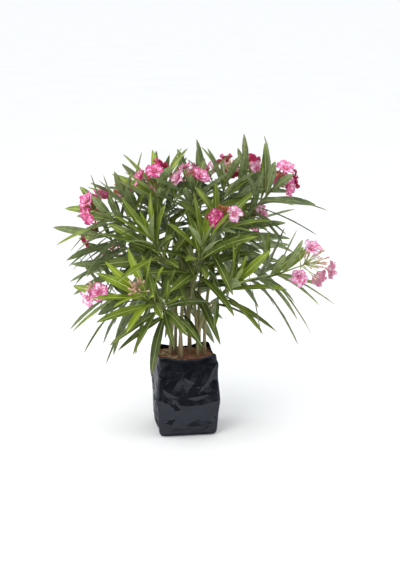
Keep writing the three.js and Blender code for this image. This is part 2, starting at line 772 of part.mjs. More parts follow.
shoots.forEach((shoot, order) => {
  shoot.head = headPlan(shoot, order);
});
const mostWhorls = Math.max(...shoots.map((shoot) => shoot.whorls));
for (let down = 1; down <= mostWhorls; down++) {
  shoots.forEach((shoot, order) => {
    if (down <= shoot.whorls) plantWhorl(shoot, order, shoot.whorls - down);
  });
}

addNode("grow_bag", bagSolid(), MATERIALS.film);
addNode("substrate", substrateSolid(), MATERIALS.substrate);

for (const stem of STEMS) {
  addNode("stem_" + stem.leader.name, limbSolid(stem.path, stem.radiusAt, 7, 7), MATERIALS.bark);
  const around = limbSolid(stem.path, (share) => stem.radiusAt(share) + SEAT_GAP, 7, 7);
  for (const side of stem.sides) {
    const cut = limbSolid(side.path, side.boughRadiusAt, 5, 5).subtract(around);
    const largest = cut.decompose().sort((a, b) => b.volume() - a.volume())[0];
    addNode("bough_" + side.name, largest, MATERIALS.bark);
  }
}

for (const shoot of shoots) addNode("foliage_" + shoot.name, massSolid(shoot), MATERIALS.foliage);

export default plant;
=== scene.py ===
# A flowering oleander bush in a black film grow bag, dressed over its frame, in metres with +Z up.
# The bush grows by the rule of the solids, told again here and carried on to finer twigs and leaves.

import math
from types import SimpleNamespace as Thing

import bpy
import numpy as np
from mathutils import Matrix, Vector


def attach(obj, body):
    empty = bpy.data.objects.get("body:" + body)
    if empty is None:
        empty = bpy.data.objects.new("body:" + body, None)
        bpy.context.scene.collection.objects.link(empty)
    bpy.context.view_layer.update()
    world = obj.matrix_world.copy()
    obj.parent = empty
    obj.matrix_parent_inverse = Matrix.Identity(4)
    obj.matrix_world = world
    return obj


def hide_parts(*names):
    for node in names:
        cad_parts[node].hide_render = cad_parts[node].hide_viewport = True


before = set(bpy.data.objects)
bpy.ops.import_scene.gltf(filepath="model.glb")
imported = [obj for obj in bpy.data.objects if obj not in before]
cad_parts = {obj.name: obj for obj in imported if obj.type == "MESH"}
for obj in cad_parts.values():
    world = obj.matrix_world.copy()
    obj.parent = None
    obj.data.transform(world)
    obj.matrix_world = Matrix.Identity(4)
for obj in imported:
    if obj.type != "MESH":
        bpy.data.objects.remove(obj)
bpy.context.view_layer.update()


def both_ways(tries):
    """The tries, each one to the side followed by its mirror image."""
    return [(side * way, other) for side, other in tries for way in ((1, -1) if side else (1,))]


# Grow bag
BAG_HEIGHT = 0.190
BAG_WIDTH = 0.146
BAG_DEPTH = 0.134
BAG_CORNER = 16
BAG_FOOT_SHARE = 0.91
BAG_RIM_SHARE = 0.93
BAG_BELLY = 0.085
# How much further the bag's front stands out, at shares of its height
BAG_FRONT = [(0, 0), (0.05, 0.10), (0.42, 0.15), (1, -0.08)]
BAG_TURN = 9
BAG_MIDDLE = np.array([-0.007, 0.0])
RIM_EAR = 0.009
FILM = 0.0009
SOIL_TOP = 0.187

# Stems, boughs and shoots
SEAT_GAP = 0.0003
STEM_RADIUS = 0.0043
STEM_FLARE = 1.25
FLARE_FALL = 22
BOUGH_RADIUS = 0.0035
FORK_REACH = 0.030
SHOOT_RADIUS = 0.0036
SHOOT_TIP_RADIUS = 0.0026
# How far a limb may bow to the side and outwards, tried in this order
LIMB_BOWS = both_ways([
    (0, 0), (1, 0), (0, 1), (0, -1), (1, 1), (2, 0), (2, 1), (0, 2), (3, 0), (3, 1), (1, -1), (2, -1), (3, 2),
    (4, 0), (4, 1), (5, 0),
])
BOW_STEP = 0.009
SHOOT_SWEEP = 14
INTERNODE = 0.0155

# Leaves
LEAVES_PER_WHORL = 3
LEAF_LENGTH = 0.146
LEAF_WIDTH = 0.022
LEAF_STATIONS = np.array([0, 0.3, 0.66, 1])
LEAF_HALF_WIDTHS = np.array([0.2, 0.94, 0.88, 0])
# Steps in turn and in tilt, tried in this order
LEAF_TRIES = both_ways([
    (0, 0), (1, 0), (0, 1), (2, 0), (0, -1), (1, 1), (3, 0), (0, 2), (2, 1), (0, -2), (3, 1),
])
TURN_STEP = 10
TILT_STEP = 11

# Blooms and buds
BLOOM_RADIUS = 0.025
BLOOM_DEPTH = 0.018
BLOOM_FOOT_RADIUS = 0.0026
HEAD_SPACING = 0.006
BUD_LENGTH = 0.015
BUD_RADIUS = 0.0028
BARE_TIP = 0.014
# Steps in turn and shares of the usual length, tried in this order
PEDICEL_TRIES = both_ways([(0, 1), (1, 1), (0, 1.35), (2, 1), (1, 1.35)])
PEDICEL_STEP = 16

# How far things keep apart, and the steps between the points that are compared for it
CLEARANCE = 0.0016
LIMB_CLEARANCE = 0.0015
OWN_SHARE = 0.12
POST_STEP = 0.004
BLADE_STEP = 0.005
BLADE_ACROSS = (-1, -0.5, 0, 0.5, 1)

# Each stem is its foot's azimuth and reach and its shoots, the leader first. A shoot is its name, the fork
# that its bough leaves the stem at, the azimuth, reach, height and lean of its topmost whorl, and its counts
# of whorls, blooms and buds.
SHOOT_FACTS = ("name", "fork", "azimuth", "reach", "height", "lean", "whorls", "blooms", "buds")
STEMS = [
    (-171, 0.042, [("left_upper", 0, -172, 0.190, 0.532, 57, 7, 3, 5),
                   ("left_low", 0.12, -176, 0.184, 0.338, 76, 7, 2, 6)]),
    (166, 0.031, [("left_crown", 0, 171, 0.136, 0.552, 27, 7, 1, 7),
                  ("left_back", 0.4, 159, 0.212, 0.462, 62, 7, 1, 3)]),
    (-150, 0.022, [("crown_left", 0, -158, 0.074, 0.592, 12, 8, 4, 2),
                   ("front_left", 0.4, -127, 0.128, 0.490, 30, 7, 0, 0)]),
    (60, 0.012, [("crown", 0, -70, 0.034, 0.588, 8, 8, 3, 3),
                 ("front_centre", 0.32, -72, 0.112, 0.470, 24, 6, 0, 0)]),
    (12, 0.025, [("crown_right", 0, 24, 0.100, 0.596, 20, 7, 2, 5),
                 ("front_right", 0.45, -42, 0.102, 0.516, 30, 7, 2, 4)]),
    (38, 0.036, [("right_crown", 0, 28, 0.158, 0.594, 30, 7, 2, 2),
                 ("right_back", 0.4, 34, 0.172, 0.492, 44, 6, 1, 2)]),
    (-8, 0.041, [("right_upper", 0, -3, 0.196, 0.588, 38, 5, 6, 3),
                 ("right_low", 0.22, -9, 0.228, 0.398, 68, 6, 4, 5)]),
    (-118, 0.031, [("front_low", 0, -126, 0.164, 0.366, 50, 8, 0, 6)]),
    (-42, 0.033, [("right_front_low", 0, -34, 0.126, 0.374, 42, 4, 0, 0)]),
    (128, 0.030, [("back_left_crown", 0, 122, 0.140, 0.556, 32, 8, 2, 4),
                  ("back_left_low", 0.2, 136, 0.226, 0.388, 66, 7, 1, 4)]),
    (84, 0.033, [("back_crown", 0, 76, 0.156, 0.566, 34, 8, 3, 3),
                 ("back_right_low", 0.3, 58, 0.236, 0.420, 62, 6, 2, 4),
                 ("back_low", 0.1, 98, 0.226, 0.330, 70, 7, 0, 0)]),
]
# A head's stalk and pedicels, how far it spreads in degrees, and the step in turn of its topmost bloom
HEAD_FACTS = ("stalk", "pedicel", "spread", "head_step")
USUAL_HEAD = (0.019, 0.023, 70, 0)
HEADS = {"right_low": (0.046, 0.048, 90, 2), "right_upper": (0.019, 0.023, 70, 1)}

# How close a leaf may come, how thick it is taken to be, and the tries that it has
STURDY_FIT = (CLEARANCE, 0.0018, LEAF_TRIES)
FINE_FIT = (0.0003, 0.0005, LEAF_TRIES[:11])

# Finer growth
BRIGHT_SHOOTS = {"front_low": 0.42, "crown_left": 0.12, "right_low": 0.15}
# Rings of young leaves at a bare tip, each its leaves' tilt and share of the full length
TIP_RINGS = [(9, 0.34), (17, 0.52)]
TIP_RING_STEP = 0.006
TWIG_LENGTH = 0.042
TWIG_PLACE = 0.37
TWIG_TILT = 46
TWIG_TRIES = 6
TWIG_RADII = (0.0019, 0.0012)
LIMB_WHORL_STEP = 0.024
LIMB_WHORLS = 0.15
LOWEST_LEAF = 0.28
YOUNGEST = 1.1
OLDEST = 0.05
SMALL_BUDS = 26
DOUBLE_BLOOMS = 0.5
BARK_SIDES = 18
BARK_RING_STEP = 0.0016
SCAR_STEP = 0.019
LENTICEL_STEP = 0.0035

# Fine shapes of leaves, blooms and buds
LEAF_SHARES = np.array([0, 0.05, 0.13, 0.23, 0.35, 0.48, 0.61, 0.73, 0.83, 0.91, 0.965, 1])
LEAF_ACROSS = np.array([-1, -0.55, -0.09, 0.09, 0.55, 1])
LEAF_SHELL = 0.00045
VEIN_STEP = 0.0019
PETALS = 5
TEETH = 15
SEPALS = 5
PETAL_RINGS = 9
PETAL_ACROSS = 9
PETAL_SHELL = 0.00035
TOOTH_SHELL = 0.0002
SEPAL_SHELL = 0.00025
BUD_SHARES = np.array([0, 0.05, 0.16, 0.32, 0.48, 0.64, 0.78, 0.90, 0.98, 1])
BUD_WIDTHS = np.array([0, 0.42, 0.50, 0.58, 0.86, 1.0, 0.84, 0.52, 0.2, 0])
BUD_SIDES = 12

# Looks of the faces of leaves, of blooms, of buds with their stalks, and of the soil
LEAF_FACE, LEAF_RIB, LEAF_UNDER = range(3)
INSIDE, FLUSH, THROAT, BACK, TUBE, CREAM = range(6)
STALK, BUD_SKIN, CALYX = range(3)
COIR, DRY_LEAF = range(2)

# Film and coir
# Folds that the photograph shows, in millimetres: the ridge's two ends, each as the distance to the right of
# the middle of the front and the height, then how far it stands out, and its width above and below.
FILM_FOLDS = [
    (-150, 116, 16, 72, 6.0, 90, 55), (-40, 68, 140, 100, 6.0, 80, 50), (-54, 102, 2, 16, 8.0, 17, 80),
    (-14, 24, 62, 30, 12.5, 28, 22), (-68, 42, -8, 20, 10.0, 22, 20), (52, 192, 88, 166, 5.5, 5, 92),
    (-64, 126, -26, 100, 2.2, 60, 9), (-16, 150, 18, 132, 0.8, 40, 8), (8, 124, 54, 130, 0.9, 30, 8),
    (-10, 98, 46, 106, 1.6, 24, 8), (48, 20, 70, 60, 4.0, 5, 12), (57, 51, 75, 28, 3.6, 4, 9),
    (46, 1, 68, 15, 5.0, 7, 8), (-60, 26, -34, 3, 3.2, 9, 8), (-120, 187, -62, 146, 2.8, 5, 16),
    (-150, 100, -62, 96, 2.4, 12, 12), (-205, 16, -66, 14, -7.0, 66, 16),
]
STRAY_FOLDS = 90
FOLD_SEED = 41
# Heights of the rings inside the bag, as shares of its own
FILM_INSIDE = (0.995, 0.97, 0.94, 0.9, 0.7, 0.4, 0.1, 0.012)
BAG_COLUMNS = 480
BAG_FLOOR = 0.0022
BAG_REACH = 0.07
RIM_DIP = 0.0012
SOIL_FOOT = 0.150
SOIL_DIP = 0.0028
SOIL_GAP = 0.0012
CRUMBS = 1400
CRUMB_SEED = 84
FIBRES = 160
FIBRE_RADIUS = 0.00028
FALLEN_BITS = 6
FALLEN_SHELL = 0.0004

# Colours, each from 0 to 255. Leaves: how young each tone is, its upper side, midrib and underside
LEAF_TONES = {
    "deep": ((-9, 0.34), [(42, 56, 12), (66, 80, 24), (92, 104, 42)],
             [(132, 144, 82), (158, 168, 104)], [(88, 104, 62), (122, 136, 94)]),
    "mid": ((0.34, 0.60), [(54, 72, 14), (84, 100, 28), (112, 126, 48)],
            [(156, 168, 96), (178, 188, 120)], [(100, 116, 70), (138, 152, 108)]),
    "fresh": ((0.60, 0.90), [(70, 92, 14), (102, 122, 28), (132, 150, 48)],
              [(170, 184, 104), (192, 202, 132)], [(120, 136, 84), (156, 170, 122)]),
    "young": ((0.90, 9), [(84, 106, 10), (118, 140, 22), (148, 168, 44)],
              [(190, 200, 104), (204, 210, 126)], [(140, 156, 84), (158, 172, 104)]),
}
BLOOM_PARTS = ("face", "flush", "throat", "back", "tube", "anthers")
BLOOM_COLOURS = {
    "pale": [
        [(208, 104, 156), (230, 158, 196), (244, 204, 226)], [(246, 214, 226), (255, 240, 244)],
        [(206, 92, 142), (228, 136, 174)], [(212, 116, 162), (240, 180, 208)],
        [(244, 222, 220), (226, 172, 190)], [(236, 222, 190), (248, 238, 218)],
    ],
    "rose": [
        [(200, 68, 132), (222, 114, 166), (238, 170, 204)], [(244, 190, 214), (254, 226, 236)],
        [(208, 84, 142), (232, 136, 178)], [(190, 60, 118), (222, 122, 168)],
        [(240, 206, 208), (218, 144, 170)], [(236, 216, 188), (246, 232, 210)],
    ],
    "magenta": [
        [(172, 24, 92), (198, 54, 124), (222, 108, 162)], [(236, 140, 184), (252, 208, 226)],
        [(196, 60, 122), (226, 112, 162)], [(150, 22, 74), (188, 48, 108)],
        [(228, 176, 190), (202, 112, 146)], [(234, 208, 180), (244, 226, 204)],
    ],
}
# The shares of a head's blooms up to which they are pale, and rose; the rest are magenta
USUAL_BLOOMS = (0.55, 0.8)
HEAD_BLOOMS = {
    "left_upper": (0.35, 0.75), "left_low": (0.2, 0.75), "left_crown": (0.9, 1), "crown_left": (0.3, 0.7),
    "crown": (0.3, 0.7), "crown_right": (0.3, 0.6), "front_right": (0.5, 0.5), "right_crown": (0.5, 0.8),
    "right_upper": (0.5, 0.85), "right_low": (0.45, 0.7),
}
# Each kind of bud's stalks, skin and calyx
BUD_COLOURS = {
    "pink": [[(112, 110, 56), (136, 100, 60)], [(220, 138, 134), (200, 96, 104), (236, 184, 164)],
             [(128, 70, 54), (146, 92, 60)]],
    "yellow": [[(160, 172, 88), (188, 192, 122)], [(204, 206, 134), (216, 160, 160), (226, 190, 164)],
               [(152, 154, 72), (172, 146, 82)]],
    "rust": [[(128, 116, 60), (146, 104, 64)], [(196, 118, 70), (166, 84, 54), (232, 184, 132)],
             [(124, 70, 44), (142, 92, 54)]],
}
HEAD_BUDS = {
    "left_low": "yellow", "front_low": "yellow", "right_low": "yellow", "right_crown": "yellow",
    "crown_right": "yellow", "left_crown": "rust", "right_upper": "rust", "front_right": "rust",
    "back_crown": "rust",
}
TWIG_COLOURS = [(84, 96, 44), (104, 114, 58), (122, 128, 72)]
BARK_COLOURS = [(156, 134, 104), (138, 130, 88), (108, 116, 62)]
LENTICEL_COLOUR = (176, 158, 128)
# Film: black, paler towards the bottom as a painted reflection of the pale floor
FILM_AND_FLOOR_REFLECTION_COLOURS = [(9, 10, 15), (14, 16, 22), (26, 28, 35)]
FILM_GLOSS = (0.088, 0.091, 0.107, 1)
SOIL_COLOURS = [(122, 76, 56), (172, 114, 88), (196, 150, 122), (138, 88, 66)]
DRY_LEAF_COLOURS = [(150, 128, 96), (186, 168, 132), (203, 190, 160)]
FLOOR_COLOURS = [(240, 240, 241), (243, 243, 244)]

# Studio
FLOOR_REACH = 500
FLOOR_HEIGHT = -0.0005
DOME_COLOUR = (0.96, 0.98, 1.0, 1)
# The dome's light is the third number up to where the height's sine is the first, and the fourth from where
# it is the second
DOME_LIGHT = (0.10, 0.70, 0.04, 1.42)
# How bright the dome itself looks behind the plant
DOME_SEEN = 0.94
CAMERA_RISE = 13.5
CAMERA_AWAY = 3.0
CAMERA_AIM = (0.030, 0, 0.359)
CAMERA_LENS = 78.95
CAMERA_SENSOR = 36
CAMERA_CLIP = 2000
# Each lamp's name, place, aim, size, power and colour
LAMPS = [
    ("key", (-1.5, -2.3, 2.6), (0, 0, 0.40), (1.8, 1.8), 54, (1.0, 0.98, 0.95)),
    ("left", (-2.6, 0.3, 1.1), (0, 0, 0.3), (1.2, 1.6), 18, (0.97, 0.99, 1.0)),
    ("right", (2.6, -0.2, 1.2), (0, 0, 0.3), (1.0, 1.6), 14, (0.97, 0.99, 1.0)),
]

UP = np.array([0.0, 0.0, 1.0])
FULL_TURN = 2 * math.pi
MASK = 0xFFFFFFFF


# Maths
def chance(*keys):
    """A number from 0 to 1 that depends only on the keys."""
    h = 2166136261
    for key in keys:
        h = ((h ^ key) * 16777619) & MASK
        h = ((h ^ (h >> 15)) * 2246822519) & MASK
        h ^= h >> 13
    return h / 4294967296


def sway(*keys):
    """A number from -1 to 1 that depends only on the keys."""
    return 2 * chance(*keys) - 1


def lerp(a, b, share):
    return (1 - share) * a + b * share


def between(low, high, *keys):
    return lerp(low, high, chance(*keys))


def taper(first, last):
    """A radius that goes evenly from the first to the last."""
    return lambda share: lerp(first, last, share)


def unit(v):
    return v / math.sqrt(v[0] * v[0] + v[1] * v[1] + v[2] * v[2])


def units(v):
    """The vectors along an array's last axis, each made 1 long."""
    return v / np.linalg.norm(v, axis=-1, keepdims=True)


def cross(a, b):
    return np.array([a[1] * b[2] - a[2] * b[1], a[2] * b[0] - a[0] * b[2], a[0] * b[1] - a[1] * b[0]])


def heading(azimuth, lean):
    """The direction at an azimuth and a tilt from upright, both in degrees."""
    a = math.radians(azimuth)
    tilt = math.radians(lean)
    return np.array([math.cos(a) * math.sin(tilt), math.sin(a) * math.sin(tilt), math.cos(tilt)])


def splay(axis, tilt, turn):
    """The direction at a tilt from the axis and a turn round it from nearest to +X, both in degrees."""
    first = unit(np.array([1.0, 0.0, 0.0]) - axis * axis[0])
    second = cross(axis, first)
    around = math.radians(turn)
    away = math.radians(tilt)
    return axis * math.cos(away) + (first * math.cos(around) + second * math.sin(around)) * math.sin(away)


def across(axis):
    """Two unit vectors square to any axis."""
    reference = np.eye(3)[np.argmin(np.abs(axis))]
    first = unit(reference - axis * (axis @ reference))
    return first, cross(axis, first)


# Growth, by the rule of the solids
class Curve:
    """A Bezier curve."""

    def __init__(self, *corners):
        self.corners = np.array(corners)

    def points(self, shares):
        share = np.asarray(shares, float)[:, None]
        left = [np.broadcast_to(corner, (len(share), 3)) for corner in self.corners]
        while len(left) > 1:
            left = [a * (1 - share) + b * share for a, b in zip(left, left[1:])]
        return left[0]

    def point(self, share):
        return self.points([share])[0]

    def tangent(self, share):
        return unit(self.point(min(share + 1e-4, 1)) - self.point(max(share - 1e-4, 0)))

    def length(self):
        return np.linalg.norm(np.diff(self.points(np.linspace(0, 1, 201)), axis=0), axis=1).sum()


class Room:
    """Everything placed so far, so that what comes next can be kept clear of it.

    Posts are points on the axes of limbs, cones are blooms, and blades are leaves. Each has its owner's
    number: from 0 for a shoot, 100 for a stem, 200 for a bough and 1000 for a twig.
    """

    def __init__(self):
        self.at = np.zeros((0, 3))
        self.radius = np.zeros(0)
        self.owner = np.zeros(0, int)
        self.is_stem = np.zeros(0, bool)
        self.cones = []
        self.blades = []

    def add_posts(self, owner, is_stem, curve, radius_at):
        at, radius = posts_along(curve, radius_at)
        self.at = np.concatenate([self.at, at])
        self.radius = np.append(self.radius, radius)
        self.owner = np.append(self.owner, np.full(len(at), owner))
        self.is_stem = np.append(self.is_stem, np.full(len(at), is_stem))


def posts_along(curve, radius_at):
    """Points along a curve, and the radius at each."""
    count = math.ceil(curve.length() / POST_STEP)
    shares = np.arange(count + 1) / count
    return curve.points(shares), radius_at(shares) * np.ones(count + 1)


def shoot_curve(shoot):
    """The leafy end of a limb: a gentle rise from the bough's tip to the topmost whorl."""
    tip = heading(shoot.azimuth, 90) * shoot.reach
    tip[2] = shoot.height
    half = shoot.whorls * INTERNODE / 2
    knee = tip - heading(shoot.azimuth, shoot.lean) * half
    foot = knee - heading(shoot.azimuth, shoot.lean + SHOOT_SWEEP) * half
    return Curve(foot, knee, tip)


def limb_path(room, start, leaving, end, arriving, radius_at, may_touch):
    """A limb's curve, which bows sideways or outwards until it passes clear of the limbs there already."""
    pull = np.linalg.norm(end - start) / 3
    outward = unit(end * (1, 1, 0))
    sideways = np.array([-outward[1], outward[0], 0])
    for side, out in LIMB_BOWS:
        bow = (outward * out + sideways * side) * BOW_STEP
        curve = Curve(start, start + leaving * pull + bow, end - arriving * pull + bow * 0.6, end)
        at, radius = posts_along(curve, radius_at)
        apart = np.linalg.norm(room.at[:, None] - at[None], axis=2)
        least = room.radius[:, None] + radius[None] + LIMB_CLEARANCE
        if ((apart > least).all(1) | may_touch).all():
            return curve
    raise RuntimeError("no way for a limb")


def leaf_blade(root, direction, axis, roll, length, sag, **facts):
    """A leaf as the flat stretches between its stations, and points spread over them."""
    lift = unit(axis - direction * (axis @ direction))
    side = cross(direction, lift) * math.cos(roll) + lift * math.sin(roll)
    rib = root + direction * (LEAF_STATIONS * length)[:, None]
    rib[:, 2] -= 0.5 * sag * LEAF_STATIONS ** 2 * length
    half = LEAF_HALF_WIDTHS * LEAF_WIDTH * (length / LEAF_LENGTH) / 2
    run = np.diff(rib, axis=0)
    reach = np.linalg.norm(run, axis=1)
    forward = run / reach[:, None]
    points = []
    shares = []
    for i in range(3):
        steps = math.ceil(reach[i] / BLADE_STEP)
        way = np.arange(steps + 1) / steps
        middle = rib[i] + forward[i] * (way * reach[i])[:, None]
        out = lerp(half[i], half[i + 1], way)[:, None] * BLADE_ACROSS
        points.append((middle[:, None] + side * out[:, :, None]).reshape(-1, 3))
        shares.append(np.repeat(LEAF_STATIONS[i] + way * reach[i] / length, len(BLADE_ACROSS)))
    return Thing(
        root=root, direction=direction, side=side, length=length, sag=sag, middle=(rib[1] + rib[2]) / 2,
        at=rib[:3], forward=forward, normal=units(np.cross(side, forward)), sides=np.repeat(side[None], 3, 0),
        reach=reach, wide=np.stack([half[:3], half[1:]], 1), share=LEAF_STATIONS[:3],
        points=np.concatenate(points), shares=np.concatenate(shares), **facts,
    )


def in_flats(blades, points, radius, clear, thick, least=0):
    """True where a ball at one of the points comes too near to a stretch of a leaf past a share of it."""
    names = ("at", "forward", "normal", "sides", "reach", "wide")
    kept = [np.concatenate([getattr(b, name)[b.share >= least] for b in blades]) for name in names]
    at, forward, normal, side, reach, wide = kept
    start = points[None] - at[:, None]
    run = np.einsum("fkc,fc->fk", start, forward)
    off = np.abs(np.einsum("fkc,fc->fk", start, normal))
    out = np.abs(np.einsum("fkc,fc->fk", start, side))
    gap = radius + clear
    half = lerp(wide[:, :1], wide[:, 1:], np.clip(run / reach[:, None], 0, 1))
    return (run >= -gap) & (run <= reach[:, None] + gap) & (off <= thick + gap) & (out < half + gap)


def in_cone(cone, points, radius):
    """True where a ball at one of the points comes too near to a bloom."""
    start = points - cone.at
    depth = -(start @ cone.facing)
    out = np.sqrt(np.maximum((start ** 2).sum(1) - depth ** 2, 0))
    wide = lerp(cone.radius, BLOOM_FOOT_RADIUS, np.clip(depth / BLOOM_DEPTH, 0, 1))
    beside = (depth >= -radius - CLEARANCE - 0.003) & (depth <= BLOOM_DEPTH + radius)
    return beside & (out < wide + radius + CLEARANCE)


def blades_meet(blade, others, least, clear, thick):
    """True if a blade and one of the others come too near, past the given share of both."""
    own = blade.points[blade.shares >= least]
    if in_flats(others, own, 0, clear, thick, least).any():
        return True
    points = np.concatenate([b.points[b.shares >= least] for b in others])
    points = points[np.linalg.norm(points - blade.middle, axis=1) < 0.62 * blade.length]
    return bool(in_flats([blade], points, 0, clear, thick, least).any())


def leaf_fits(room, blade, clear, thick):
    """A leaf fits if it keeps clear of all limbs, stalks, blooms and leaves, but for its own stem."""
    reach = blade.length * 0.6
    near = np.linalg.norm(room.at - blade.middle, axis=1) < reach + 0.012
    near &= ~((room.owner == blade.owner) & room.is_stem)
    if in_flats([blade], room.at[near], room.radius[near], clear, thick).any():
        return False
    for cone in room.cones:
        if np.linalg.norm(cone.at - blade.middle) < reach + cone.radius + 0.012:
            if in_cone(cone, blade.points, 0).any():
                return False
    middles = np.array([b.middle for b in room.blades]).reshape(-1, 3)
    lengths = np.array([b.length for b in room.blades])
    near = np.flatnonzero(np.linalg.norm(middles - blade.middle, axis=1) < reach + lengths * 0.6)
    for same, least in ((True, OWN_SHARE), (False, 0)):
        others = [room.blades[i] for i in near if (room.blades[i].owner == blade.owner) == same]
        if others and blades_meet(blade, others, least, clear, thick):
            return False
    return True


def bloom_fits(room, cone):
    """A bloom fits if it meets nothing of another mass and faces away from the other blooms of its own."""
    others = room.owner != cone.owner
    if in_cone(cone, room.at[others], room.radius[others]).any():
        return False
    for other in room.cones:
        share = 0.78 if other.owner == cone.owner else 1.1
        if np.linalg.norm(other.at - cone.at) <= share * (other.radius + cone.radius):
            return False
    return True


def pedicel_fits(room, owner, start, end):
    """A pedicel fits if neither it nor its bud comes too near to another mass."""
    points = lerp(start, end, np.linspace(0, 1, 11)[:, None])
    for cone in room.cones:
        if cone.owner != owner and in_cone(cone, points, BUD_RADIUS).any():
            return False
    others = room.owner != owner
    apart = np.linalg.norm(room.at[others][:, None] - points[None], axis=2)
    return bool((apart >= room.radius[others][:, None] + BUD_RADIUS + CLEARANCE).all())


def head_plan(room, shoot):
    """The blooms and buds at a shoot's tip, the topmost first."""
    axis = shoot.curve.tangent(1)
    total = shoot.blooms + shoot.buds
    whorls = math.ceil(total / 3)
    items = []
    for i in range(total):
        whorl = whorls - 1 - i // 3
        opens = (i + 1) * shoot.blooms // total > i * shoot.blooms // total
        root = shoot.curve.point(1) + axis * (shoot.stalk + whorl * HEAD_SPACING)
        tilt = lerp(22, shoot.spread, (i + 0.5) / total) + 8 * sway(shoot.order, 51, i)
        start = shoot.phase + 60 * (shoot.whorls + whorl) + 120 * (i + shoot.head_step)
        start += 10 * sway(shoot.order, 52, i)
        radius = BLOOM_RADIUS * (0.9 + 0.12 * chance(shoot.order, 53, i))
        vary = 0.85 + 0.3 * chance(shoot.order, 54, i)
        for step, share in PEDICEL_TRIES:
            facing = splay(axis, tilt, start + PEDICEL_STEP * step)
            length = shoot.pedicel * vary * share * (1 if opens else 0.8)
            end = root + facing * (length + (0 if opens else BUD_LENGTH))
            if not pedicel_fits(room, shoot.order, root, end):
                continue
            rim = root + facing * (length + BLOOM_DEPTH)
            cone = Thing(owner=shoot.order, at=rim, facing=facing, radius=radius) if opens else None
            if opens and not bloom_fits(room, cone):
                continue
            if opens:
                room.cones.append(cone)
            room.add_posts(shoot.order, False, Curve(root + facing * 0.005, end), lambda share: BUD_RADIUS)
            items.append(Thing(root=root, facing=facing, length=length, cone=cone,
                               order=shoot.order, number=i))
            break
    return whorls, items


def plant(room, owner, spot, phase, keys, tilt, length, sag, fit, fresh):
    """Puts up to three leaves round an axis where they find room."""
    at, axis, radius = spot
    clear, thick, tries = fit
    for k in range(LEAVES_PER_WHORL):
        own = (*keys, k)
        lean = tilt + 7 * sway(*own, 1)
        reach = length * (1 + 0.08 * sway(*own, 2))
        droop = sag + 0.14 * sway(*own, 3)
        roll = math.radians(16 * sway(*own, 4))
        start = phase + 120 * k
        root = at + splay(axis, 90, start) * radius / 2
        for turn, tip in tries:
            direction = splay(axis, lean + TILT_STEP * tip, start + 8 * sway(*own, 5) + TURN_STEP * turn)
            blade = leaf_blade(root, direction, axis, roll, reach, droop, owner=owner, keys=own, fresh=fresh)
            if leaf_fits(room, blade, clear, thick):
                room.blades.append(blade)
                break


def spot_on(carrier, curve, share):
    """A place on a curve, the way it runs there, and its radius."""
    return curve.point(share), curve.tangent(share), carrier.radius_at(share)


def plant_whorl(room, shoot, whorl, fit, scale=1.0):
    """Puts the leaves of one whorl of a shoot where they find room."""
    share = (whorl + 0.7) / (shoot.whorls - 0.3)
    tilt = lerp(78, 42 if shoot.blooms > 0 else 26, share)
    length = LEAF_LENGTH * (0.88 + 0.16 * math.sin(math.pi * share)) * scale
    # Sprays differ in how young they look, and the topmost leaves are the youngest
    spray = 0.34 * (chance(shoot.order, 900) - 0.5) + 0.2 * (chance(shoot.order, whorl, 901) - 0.5)
    fresh = 0.14 + 0.56 * share + spray + BRIGHT_SHOOTS.get(shoot.name, 0) * share
    spot = spot_on(shoot, shoot.curve, share)
    phase = shoot.phase + 60 * whorl
    keys = (shoot.order, whorl)
    plant(room, shoot.order, spot, phase, keys, tilt, length, lerp(0.5, 0.1, share), fit, fresh)


def stem_radius(share):
    """A stem's radius, flared at its foot."""
    flare = 1 + (STEM_FLARE - 1) * np.exp(-FLARE_FALL * share)
    return lerp(STEM_RADIUS, SHOOT_RADIUS, share) * flare


def grow_limb(room, shoot, stems):
    """The limb that carries a shoot: a stem up from the soil, or a bough from a fork of the stem."""
    arriving = shoot.curve.tangent(0)
    tip = shoot.curve.point(0) - arriving * SEAT_GAP
    may_touch = room.owner == shoot.order
    if shoot.side == 0:
        azimuth, reach, _ = STEMS[shoot.stem]
        start = heading(azimuth, 90) * reach
        start[2] = SOIL_TOP + SEAT_GAP
        leaving = UP
        limb = Thing(name="stem_" + shoot.name, number=shoot.stem, owner=100 + shoot.stem,
                     radius_at=stem_radius)
    else:
        stem = stems[shoot.stem]
        start = stem.path.point(shoot.fork)
        leaving = unit(unit(tip - start) + stem.path.tangent(shoot.fork))
        near_fork = np.linalg.norm(room.at - start, axis=1) < FORK_REACH
        may_touch = may_touch | ((room.owner == stem.owner) & near_fork)
        limb = Thing(name="bough_" + shoot.name, number=20 + shoot.order, owner=200 + shoot.order,
                     radius_at=taper(BOUGH_RADIUS, SHOOT_RADIUS))
    limb.path = limb_path(room, start, leaving, tip, arriving, limb.radius_at, may_touch)
    room.add_posts(limb.owner, True, limb.path, limb.radius_at)
    return limb


def grow():
    """The shoots, limbs, heads and leaves of the solids."""
    room = Room()
    shoots = []
    for stem, (_, _, rows) in enumerate(STEMS):
        for side, row in enumerate(rows):
            facts = dict(zip(SHOOT_FACTS + HEAD_FACTS, row + HEADS.get(row[0], USUAL_HEAD)))
            order = len(shoots)
            shoots.append(Thing(order=order, stem=stem, side=side, phase=360 * chance(order, 77),
                                radius_at=taper(SHOOT_RADIUS, SHOOT_TIP_RADIUS), **facts))
    for shoot in shoots:
        shoot.curve = shoot_curve(shoot)
        room.add_posts(shoot.order, True, shoot.curve, shoot.radius_at)
    limbs = []
    for shoot in sorted(shoots, key=lambda shoot: shoot.side > 0):
        limbs.append(grow_limb(room, shoot, limbs))
    for shoot in shoots:
        shoot.head_whorls, shoot.items = head_plan(room, shoot)
    for down in range(1, max(shoot.whorls for shoot in shoots) + 1):
        for shoot in shoots:
            if down <= shoot.whorls:
                plant_whorl(room, shoot, shoot.whorls - down, STURDY_FIT)
    return room, shoots, limbs


